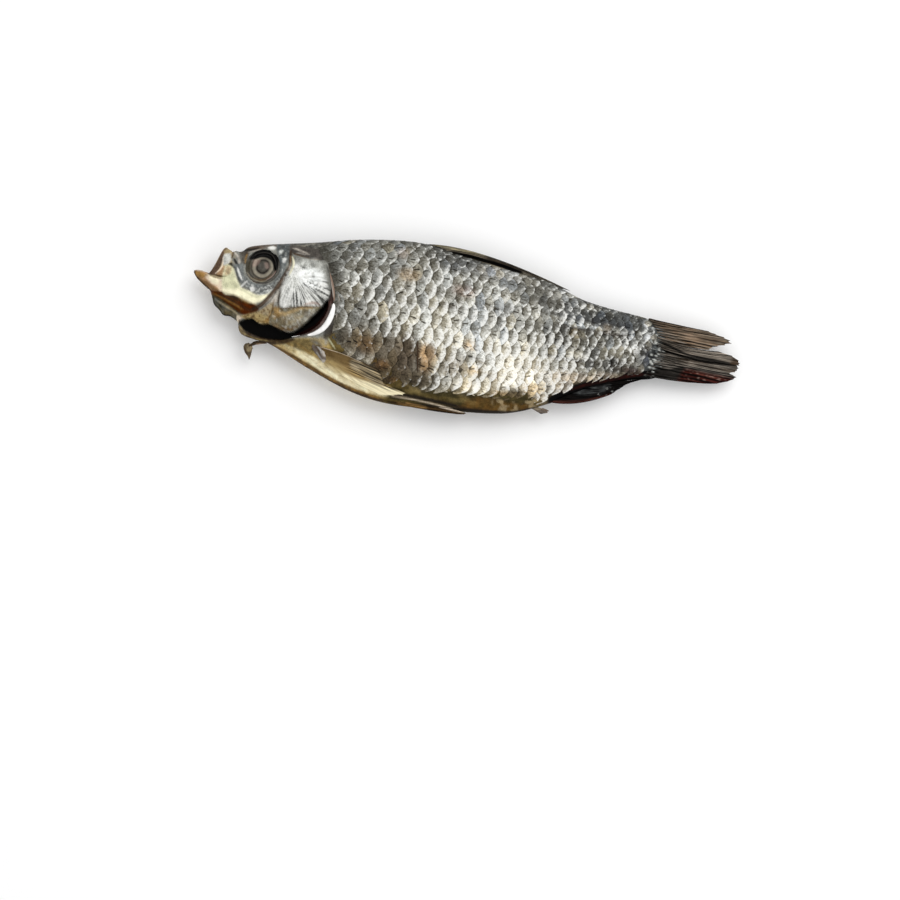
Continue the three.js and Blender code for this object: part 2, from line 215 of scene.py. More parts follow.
def within(x: Array, y: Array, rim: Array, soft: float) -> Array:
    """1 inside a closed rim and 0 outside, with a soft step of the given width on the rim.

    Args:
        x, y: Places along and across the fish.
        rim: The closed rim's corners, the last one equal to the first.
        soft: Width of the step.

    Returns:
        The mask, by an even-odd count of the rim's edges to the right of each point.
    """
    distance, _ = path_distance(x, y, rim, soft)
    low, high = rim.min(0), rim.max(0)
    near = (x >= low[0]) & (x <= high[0]) & (y >= low[1]) & (y <= high[1])
    px, py = x[near][:, None], y[near][:, None]
    x0, y0, x1, y1 = rim[:-1, 0], rim[:-1, 1], rim[1:, 0], rim[1:, 1]
    rise = np.where(y1 == y0, 1e-9, y1 - y0)
    crossed = ((y0 > py) != (y1 > py)) & (px < (x1 - x0) * (py - y0) / rise + x0)
    inside = np.zeros(x.shape, bool)
    inside[near] = crossed.sum(1) % 2 == 1
    return ramp(-soft / 2, soft / 2, np.where(inside, distance, -distance))


# ---- meshes


def grid_faces(rows: int, columns: int, wrap: bool = False) -> Array:
    """Quads of a grid of points numbered row by row.

    Args:
        rows: Number of rows of points.
        columns: Number of points in a row.
        wrap: Whether each row's last point joins its first.

    Returns:
        An array of four corners for each quad.
    """
    across = columns if wrap else columns - 1
    i, j = np.meshgrid(np.arange(rows - 1), np.arange(across), indexing="ij")
    k = (j + 1) % columns
    quad = [i * columns + j, i * columns + k, (i + 1) * columns + k, (i + 1) * columns + j]
    return np.stack(quad, -1).reshape(-1, 4)


@dataclass
class Form:
    """Points, faces and painted values of a mesh that is being put together, in millimetres.

    The chart's first two columns are the pattern map. On scales its third one, Bare, is the distance
    from the rims that lie over the point.
    """

    points: Array
    faces: Array
    tone: Array
    caps: list[list[int]] = field(default_factory=list)
    chart: Array | None = None

    def outward(self) -> "Form":
        """Turns all faces round if they face inwards, as the sign of the enclosed volume tells."""
        a, b, c, d = (self.points[self.faces[:, k]] for k in range(4))
        volume = (a * np.cross(b, c)).sum() + (a * np.cross(c, d)).sum()
        if volume < 0:
            self.faces = self.faces[:, ::-1]
            self.caps = [cap[::-1] for cap in self.caps]
        return self

    def joined(self, other: "Form") -> "Form":
        """This form and another one side by side in one mesh."""
        shift = len(self.points)
        charts = [form.chart if form.chart is not None else np.zeros((len(form.points), 2))
                  for form in (self, other)]
        return Form(
            np.concatenate([self.points, other.points]),
            np.concatenate([self.faces, other.faces + shift]),
            np.concatenate([self.tone, other.tone]),
            self.caps + [[i + shift for i in cap] for cap in other.caps],
            np.concatenate(charts),
        )


def border(rows: int, columns: int) -> Array:
    """Numbers of a grid's border points in order round it."""
    grid = np.arange(rows * columns).reshape(rows, columns)
    return np.concatenate([grid[0, :-1], grid[:-1, -1], grid[-1, :0:-1], grid[:0:-1, 0]])


def leaves(top: Array, under: Array, tone: Array, chart: Array | None = None) -> Form:
    """Closed leaves, each from two grids of points that are joined round their borders.

    Args:
        top: Upper faces' points, as leaf, row, column, coordinate.
        under: Lower faces' points, in the same order.
        tone: Painted values of the upper points, which the lower ones share.
        chart: Pattern map of the upper points, which the lower ones share.

    Returns:
        The leaves in one form, facing outwards.
    """
    count, rows, columns = top.shape[:3]
    size = rows * columns
    ring = border(rows, columns)
    after = np.roll(ring, -1)
    quads = grid_faces(rows, columns)
    wall = np.stack([ring, ring + size, after + size, after], -1)
    one = np.concatenate([quads, quads[:, ::-1] + size, wall])
    faces = (one[None] + (np.arange(count) * 2 * size)[:, None, None]).reshape(-1, 4)

    def both(upper: Array, lower: Array) -> Array:
        """Upper and lower values of each leaf in the points' order."""
        flat = [v.reshape(count, size, v.shape[-1]) for v in (upper, lower)]
        return np.concatenate(flat, 1).reshape(-1, upper.shape[-1])

    mapped = None if chart is None else both(chart, chart)
    return Form(both(top, under), faces, both(tone, tone), chart=mapped).outward()


def make_piece(name: str, form: Form, material: bpy.types.Material, crease: float = 60) -> bpy.types.Object:
    """Makes a form a mesh piece of the fish, which rides on its body and replaces its CAD node.

    Args:
        name: The piece's name.
        form: Its points, faces and painted values.
        material: Its material.
        crease: Edges that turn by more degrees than this are shaded sharp.

    Returns:
        The new object.
    """
    mesh = bpy.data.meshes.new(name)
    mesh.from_pydata((form.points * MM).tolist(), [], form.faces.tolist() + form.caps)
    rgba = np.ones((len(form.points), 4), np.float32)
    rgba[:, : form.tone.shape[-1]] = np.clip(form.tone, 0, 1)
    mesh.attributes.new("Tone", "FLOAT_COLOR", "POINT").data.foreach_set("color", rgba.ravel())
    if form.chart is not None:
        corner = np.zeros(len(mesh.loops), np.int32)
        mesh.loops.foreach_get("vertex_index", corner)
        layer = mesh.uv_layers.new(name="PatternMap")
        layer.uv.foreach_set("vector", form.chart[corner, :2].astype(np.float32).ravel())
        bare = mesh.attributes.new("Bare", "FLOAT", "POINT")
        bare.data.foreach_set("value", form.chart[:, -1].astype(np.float32))
    mesh.materials.append(material)
    mesh.shade_smooth()
    mesh.set_sharp_from_angle(angle=math.radians(crease))
    mesh.validate()
    piece = bpy.data.objects.new(name, mesh)
    bpy.context.scene.collection.objects.link(piece)
    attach(piece, BODY)
    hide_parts(NODE)
    LOG.info("%s: %d faces", name, len(mesh.polygons))
    return piece


# ---- the body's form


@dataclass(frozen=True)
class BodyForm:
    """The trunk and skull as a loft of lens sections along X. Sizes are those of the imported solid."""

    back: Points = (
        "-120.6 8.4, -117 13.5, -113 17.4, -110 18.4, -108 18.8, -106.4 18.1, -105.3 17.8, -104 18.4, "
        "-102.4 18.3, -101 18.9, -99.4 20.5, -97 21.7, -90 23.6, -70 27.8, -50 32.3, -30 34.9, -20 34.7, "
        "0 31.9, 20 29.2, 32 27.8, 48 22.4, 60 20.5, 78 18.9, 84 17.6, 88 14.5"
    )
    belly: Points = (
        "-120.6 6.2, -119.6 4.7, -118 3.2, -114 .5, -112.3 -.6, -111.2 -2.6, -109.8 -5.8, -107 -8.1, "
        "-104.8 -10.1, -102 -10.1, -99.6 -11.1, -98 -12.3, -97.2 -15.2, -95.4 -17.1, -90 -18.2, -83 -19.1, "
        "-65 -26.7, -45 -33.7, -28 -36.2, 0 -34.7, 20 -32.6, 30 -29.8, 42 -24.2, 60 -15.3, 72 -9.4, "
        "84 -6.4, 88 -3.5"
    )
    half_thickness: Points = (
        "-120.6 .5, -119.5 1.2, -117.5 2.1, -115 2.9, -112 3.6, -108 4.4, -104 5, -90 7.7, -75 9.3, "
        "-55 10.2, -35 10.9, -10 10.9, 10 10.3, 25 9.5, 40 8.2, 55 6.6, 70 5, 80 3.6, 84 2.4, 88 .9"
    )
    middle_plane: Points = "-120 10.6, -60 10.3, -20 10.1, 20 9.8, 50 9.1, 80 8.2, 120 7.4"
    fullness: float = 0.55
    back_heavy: float = 0.14

    def middle(self, x: Array) -> Array:
        """Height of the fish's middle plane over the table at x."""
        return through(self.middle_plane)(x)

    def half(self, x: Array) -> Array:
        """Half the fish's thickness at x."""
        return through(self.half_thickness)(x)

    def span(self, x: Array) -> tuple[Array, Array]:
        """Middle and half of the fish's depth at x."""
        top, bottom = through(self.back)(x), through(self.belly)(x)
        return (top + bottom) / 2, (top - bottom) / 2

    def bulge(self, c: Array) -> Array:
        """Share of the half thickness at height c, -1 at the belly edge and 1 at the back edge."""
        return np.maximum(1 - c * c, 0) ** self.fullness * (1 + self.back_heavy * c)

    def height(self, x: Array, y: Array) -> Array:
        """Height of y in its section, from -1 at the belly edge to 1 at the back edge."""
        centre, depth = self.span(x)
        return np.clip((y - centre) / depth, -1, 1)

    def flank(self, x: Array, y: Array) -> Array:
        """Distance of the flank from the middle plane at x, y."""
        return self.half(x) * self.bulge(self.height(x, y))

    def point(self, x: Array, turn: Array, lift: Array | float = 0.0, spread: float = 0.2) -> Array:
        """Points of the skin.

        The angle round a section is pi * turn + spread * sin(2 pi turn), y follows its cosine, z
        follows the bulge on the side that its sine gives, and lift runs along the section's normal.

        Args:
            x: Place along the fish.
            turn: From 0 at the back edge to 1 at the belly edge on the left, negative on the right.
            lift: How far the point stands off the skin.
            spread: How much denser the turns are at the middle of the flank than at its edges.

        Returns:
            The points, with x, y and z in the last axis.
        """
        x, turn, lift = np.broadcast_arrays(x, turn, lift)
        angle = np.pi * turn + spread * np.sin(2 * np.pi * turn)
        c, s = np.cos(angle), np.sin(angle)
        centre, depth = self.span(x)
        half = self.half(x)
        out = lift / np.hypot(half * c, depth * s)
        z = np.sign(s) * half * self.bulge(c) + out * depth * s
        return np.stack([x, centre + depth * c + out * half * c, self.middle(x) + z], -1)

    def raised(self, x: Array, y: Array, side: Side, lift: Array | float) -> Array:
        """Points over x, y that stand off one flank by lift along Z."""
        x, y, lift = np.broadcast_arrays(x, y, lift)
        return np.stack([x, y, self.middle(x) + side.value * (self.flank(x, y) + lift)], -1)


BODY_FORM = BodyForm()
TABLE_GAP = 0.02  # the lowest that the pressed side comes to the table


def rest_on_table(points: Array) -> Array:
    """Presses what would sink into the table flat onto it."""
    pressed = points.copy()
    pressed[..., 2] = np.maximum(points[..., 2], TABLE_GAP)
    return pressed


# ---- painting


@dataclass(frozen=True)
class Patch:
    """A mark that fills a smooth closed rim."""

    rim: Points
    colour: Colour | None = None
    soft: float = 1.0
    strength: float = 1.0
    height: float = 0.0
    mottle: float = 0.0

    def mask(self, x: Array, y: Array) -> Array:
        """1 inside the rim, 0 outside."""
        return within(x, y, spline(self.rim, closed=True), self.soft)


@dataclass(frozen=True)
class Line:
    """A mark along a smooth path, which narrows towards both ends."""

    path: Points
    colour: Colour | None = None
    width: float = 1.0
    soft: float = 0.6
    strength: float = 1.0
    height: float = 0.0
    mottle: float = 0.0
    taper: float = 0.5

    def mask(self, x: Array, y: Array) -> Array:
        """1 on the path, 0 beyond half its width."""
        distance, along = path_distance(x, y, spline(self.path), self.width + self.soft)
        thin = np.clip(4 * along * (1 - along), 0.02, 1) ** self.taper
        return 1 - ramp(-self.soft / 2, self.soft / 2, distance - self.width / 2 * thin)


@dataclass(frozen=True)
class Specks:
    """A mark of small specks inside a rim: where noise passes a threshold."""

    rim: Points
    colour: Colour | None = None
    cell: float = 0.9
    soft: float = 1.5
    strength: float = 1.0
    height: float = 0.0
    share: float = 0.2
    seed: int = 4

    def mask(self, x: Array, y: Array) -> Array:
        """High on the specks inside the rim."""
        where = np.stack([x, y], -1)
        spots = ramp(self.share, self.share + 0.4, noise(where, self.cell, self.seed))
        return within(x, y, spline(self.rim, closed=True), self.soft) * spots


@dataclass(frozen=True)
class Streaks:
    """A mark of streaks inside a rim: noise drawn out along the radius from a hub, or round it."""

    rim: Points
    hub: tuple[float, float]
    colour: Colour | None = None
    count: float = 30
    soft: float = 1.0
    strength: float = 1.0
    height: float = 0.0
    share: float = 0.1
    seed: int = 3
    rings: float = 0.16

    def mask(self, x: Array, y: Array) -> Array:
        """High where noise of the angle times count and the radius times rings passes a threshold."""
        dx, dy = x - self.hub[0], y - self.hub[1]
        where = np.stack([np.arctan2(dy, dx) * self.count, self.rings * np.hypot(dx, dy)], -1)
        lines = ramp(-self.share, 0.5 - self.share, noise(where, 1, self.seed))
        return within(x, y, spline(self.rim, closed=True), self.soft) * lines


Mark = Patch | Line | Specks | Streaks


@dataclass
class Canvas:
    """The side of the fish as points at x, y, with the colour and the relief laid on them."""

    x: Array
    y: Array
    tone: Array
    relief: Array

    @classmethod
    def over(cls, x: Array, y: Array, tone: Array | Colour) -> "Canvas":
        """A canvas without relief over places x, y, in one colour or in a colour for each place."""
        tones = np.broadcast_to(tone, (*x.shape, 3)).reshape(-1, 3).copy()
        return cls(x.ravel(), y.ravel(), tones, np.zeros(x.size))

    def add(self, marks: Sequence[Mark]) -> None:
        """Lays marks on in order: each one mixes in its colour and adds its height."""
        where = np.stack([self.x, self.y], -1)
        for number, mark in enumerate(marks):
            mask = mark.mask(self.x, self.y)
            self.relief += mark.height * mask
            if mark.colour is None:
                continue
            mottle = getattr(mark, "mottle", 0.0)
            if mottle:
                cloud = noise(where, MOTTLE_CELL, MOTTLE_SEED + number)
                mask = mask * (1 - mottle * ramp(-0.6, 0.5, cloud))
            share = (mark.strength * mask)[..., None]
            self.tone += (np.array(mark.colour) - self.tone) * share


# ---- colours of the dried fish, in linear light
BONE_WHITE = (0.8, 0.8, 0.77)
SILVER = (0.56, 0.57, 0.54)
GREY = (0.25, 0.25, 0.225)
DARK_GREY = (0.085, 0.087, 0.08)
SLATE = (0.13, 0.14, 0.14)
SOOT = (0.012, 0.011, 0.01)
BLACK = (0.0015, 0.0013, 0.0012)
CREAM = (0.92, 0.88, 0.66)
STRAW = (0.52, 0.52, 0.36)
GOLD = (0.42, 0.32, 0.145)
PALE_GOLD = (0.7, 0.62, 0.4)
TAN = (0.36, 0.3, 0.2)
OCHRE = (0.34, 0.2, 0.07)
BROWN = (0.13, 0.075, 0.032)
RED_BROWN = (0.1, 0.022, 0.004)
DARK_RED = (0.036, 0.007, 0.0045)
AMBER = (0.16, 0.085, 0.028)
HONEY = (0.4, 0.32, 0.2)
OLIVE = (0.1, 0.072, 0.026)
DARK_OLIVE = (0.045, 0.037, 0.016)
SHADOW_BROWN = (0.05, 0.043, 0.036)
PINK_GREY = (0.47, 0.43, 0.38)
DULL_PINK = (0.34, 0.24, 0.2)
CREAM_PINK = (0.74, 0.63, 0.5)
PALE_CREAM = (0.88, 0.79, 0.53)
LIP_TAN = (0.38, 0.24, 0.14)
LIP_BROWN = (0.13, 0.085, 0.06)
DARK_BROWN = (0.05, 0.03, 0.017)
OLIVE_TAN = (0.33, 0.26, 0.15)
OLIVE_BROWN = (0.115, 0.085, 0.042)
OLIVE_GREY = (0.21, 0.19, 0.13)
MOSS = (0.042, 0.035, 0.016)
COOL_GREY = (0.27, 0.275, 0.26)
TEMPLE_BLUE = (0.105, 0.12, 0.125)
CHEEK_GREY = (0.18, 0.19, 0.185)
RIDGE_BROWN = (0.15, 0.11, 0.08)
WARM_GREY = (0.3, 0.28, 0.235)
WARM_DARK = (0.1, 0.09, 0.08)
TAIL_BROWN = (0.22, 0.15, 0.1)
TAIL_GREY = (0.27, 0.235, 0.195)
TAIL_RED = (0.13, 0.042, 0.03)
FIN_BROWN = (0.12, 0.075, 0.028)
PEARL_HIGHLIGHT = (0.93, 0.95, 0.93)
ROOF = (0.075, 0.072, 0.062)
OLD_ROSE = (0.13, 0.095, 0.085)

GILL_COVER: Points = (
    "-78.9 20, -75 20.2, -70 19.6, -64.4 20, -62.4 17, -60.9 13, -59.8 8, -60.1 4, -62 .4, -66 -.4, "
    "-71 -1.2, -76 -2.2, -80 -3.4, -81.2 1, -80.4 6, -78.6 11, -78 15"
)
LOWER_COVER: Points = (
    "-82.6 -3.6, -79.6 -3.2, -75 -2.2, -70 -1.1, -65 -.4, -62.4 0, -63.4 -2.6, -66 -5.8, -70 -9.6, "
    "-74.5 -12.4, -79 -12.3, -83.8 -10.8, -84 -7"
)
GILL_SLIT: Points = (
    "-97.4 -12, -95 -10.4, -92 -9.6, -88.4 -11.2, -84 -10.8, -79 -12.4, -74 -12.9, -69.6 -9.2, -66.2 -4.6, "
    "-62.8 0, -61.3 2.6, -60.7 3.4, -60.3 2, -60.2 -.6, -61.3 -4, -63.4 -8, -67 -11.2, -72 -14, -77 -16.2, "
    "-84 -17, -90 -16.4, -95 -14.6"
)
EYE_CENTRE = (-90.8, 13.3)
EYE_SOCKET_R = 8.0
EYE_SOCKET_DEPTH = 1.5
GILL_SLIT_DEPTH = 6.5
FLAP_HUB = (-76.5, 12)

# ---- rims that several marks share
CHEEK_RIM = "-102 11, -97 6, -91 4.4, -84.4 8, -82 14, -84 3.4, -88 1.2, -95 2.4"
TEMPLE_RIM = "-87 24, -80.8 24.4, -80.4 18, -83.2 7, -85 12, -84.6 19"
BELLY_RIM = "-24 -27, 6 -26, 26 -24, 34 -27, 12 -34, -24 -36"
TAIL_ROOT_RIM = "76 18, 82 16, 87 8, 87 -2, 76 -3, 78 6"

JAW_MARKS: tuple[Mark, ...] = (
    # the lower jaw: pale sides, a golden-brown tip and a brown under-edge
    Patch("-122 8, -113 8, -104 8, -104 -2, -109 -3, -114 -1, -122 5", LIP_TAN),
    Patch("-115.6 5.6, -112.6 6.7, -109.4 5.8, -106 6.4, -105.6 2.4, -105.8 -.8, -107.4 -.6, -109 1.4, "
        "-112.4 2.8", CREAM_PINK, 1.4, mottle=0.15),
    Patch("-113.4 6, -110 5.6, -108.6 3, -111.6 3", CREAM, 1.6, 0.7),
    Patch("-109.8 6.6, -106.2 6.8, -107 4.2, -108.8 4.4", PINK_GREY, 1.4, 0.7, mottle=0.5),
    Patch("-120 7, -117 6.8, -114.4 5.8, -116.6 4.4, -119.6 5", OCHRE, 1.4, 0.8),
    Line("-119.8 7.2, -117 7.6, -115.2 7", PINK_GREY, 1, 0.8, 0.7),
    Line("-120.6 6.6, -119.8 4.8, -118 3.4, -114 .8, -111.6 -1.2", DARK_BROWN, 1.3, 0.8, 0.95, taper=0.1),
    # painted shade over the jaw's lower part
    Line("-118 4.2, -114 2, -110.4 .4, -108.2 -.4", BROWN, 1.5, 1.2, 0.6),
    # bands between the jaw and the throat: red-brown hollow, tan ridge, olive band
    Patch("-112 -.4, -109 -.4, -106 -.2, -101 -1, -96 -2.2, -92 -3.4, -90 -5, -92 -7.4, -96.6 -8.6, "
        "-101 -6.6, -106 -4.2, -111 -2", (0.085, 0.026, 0.006), 0.9, height=-0.35),
    Line("-106.6 .4, -103 -.4, -98 -1.6, -93.6 -2.8, -90.6 -3.6", OCHRE, 0.8, 1.2, 0.6),
    # a painted shadow along the step under the cream band
    Line("-106 -.8, -101 -1.9, -96 -3.1, -92.4 -4.1", DARK_BROWN, 1.8, 1, 0.95, -0.45, 0.15),
    Patch("-99 -3.4, -95 -3.6, -91 -4.2, -89.6 -5.4, -92 -7.6, -96 -8.2, -97.4 -6", RED_BROWN, 1.4, 1,
        -0.2),
    Line("-103 -2.8, -98 -4.6, -94 -6.2, -90.6 -5.8", DARK_BROWN, 1.6, 1.4, 0.55, -0.15, 0.1),
    Line("-99 -1.8, -96 -2.6, -94 -3.4", OCHRE, 1.2, 0.8, 0.6, 0.1),
    Line("-110.6 -1.6, -105 -3.2, -100 -5, -96.4 -6.4", OCHRE, 0.8, 0.9, 0.5, 0.4),
    Line("-108.4 -1.6, -104 -2.6, -100 -4", DARK_BROWN, 0.7, 0.5, 0.8, -0.2),
    Line("-111.4 -2.2, -107 -4, -102 -6.4, -98 -8.2", DARK_OLIVE, 1.2, 0.8, 0.9, -0.25),
    Line("-108 -4.6, -103 -6.6, -98.6 -8.8, -94.6 -9.4", OLIVE_TAN, 1.2, 1, 0.6, 0.3),
    # the throat's membrane
    Patch("-111.6 -2, -108 -4.8, -104 -6.8, -99.4 -8.8, -98.4 -12.6, -102 -10.6, -105.4 -11, -110.4 -6.4",
        MOSS, 0.9, mottle=0.3),
    Patch("-105 -7.4, -101 -8, -98.8 -9.2, -100.6 -10, -104 -9.6", OLIVE_TAN, 1.2, 0.3, mottle=0.4),
    Line("-110.6 -4, -108.4 -7, -105 -10, -102 -10, -98.6 -12", SOOT, 0.9, 0.6, 0.85),
    Line("-108.8 -5.4, -106.6 -7.2, -104.6 -9.2", OLIVE_GREY, 0.6, 0.5, 0.5),
    Patch("-98.8 -9.4, -96 -9.6, -97 -11, -98.2 -12", CREAM_PINK, 0.7, 0.85),
    # the upper jaw
    Patch("-114 6.6, -109.6 19.6, -104 19.6, -104 6.6", TAN, 0.6),
    Patch("-108.8 10, -106.6 10.9, -105.6 9.6, -105.6 6.7, -110.6 6.7", LIP_TAN, 1, 0.9),
    Patch("-106.8 8.6, -105.6 8.4, -105.6 6.8, -107.6 6.9", CREAM_PINK, 1.2, 0.6),
    Patch("-109 15, -106.6 16.8, -105.2 15, -105.6 12.6, -106.8 11.4, -108.4 11.6", SILVER, 1.2, 0.9),
    Patch("-114.2 6.6, -112.6 9, -111 12.4, -110 16, -109.4 19.6, -107.6 19.6, -108.6 16, -108.9 12.4, "
        "-109.4 9.4, -110.6 6.6", LIP_BROWN, 0.7, height=0.3),
    Patch("-109.6 18.6, -108 19.4, -106 18.4, -106.6 16.8, -108.6 16.6", OLIVE_TAN, 1, 0.85, mottle=0.5),
    Line("-108.6 14.4, -108.4 11, -109.2 8.9, -110.9 6.9", CREAM_PINK, 0.65, 0.5, 0.85, 0.25),
    Line("-111 6.5, -108 6.3, -105.6 6.7", BROWN, 0.7, 0.5, 0.9, -0.35),
    Line("-105.9 5.6, -105.7 2.4, -106 -.2", LIP_TAN, 0.45, 0.5, 0.7, -0.15),
    # the nostril's hole painted black: painted shade
    Line("-106.2 11.4, -105 12.1, -104 11.5, -103.2 10.6", BLACK, 1.3, 0.6, 0.95, -0.5),
)

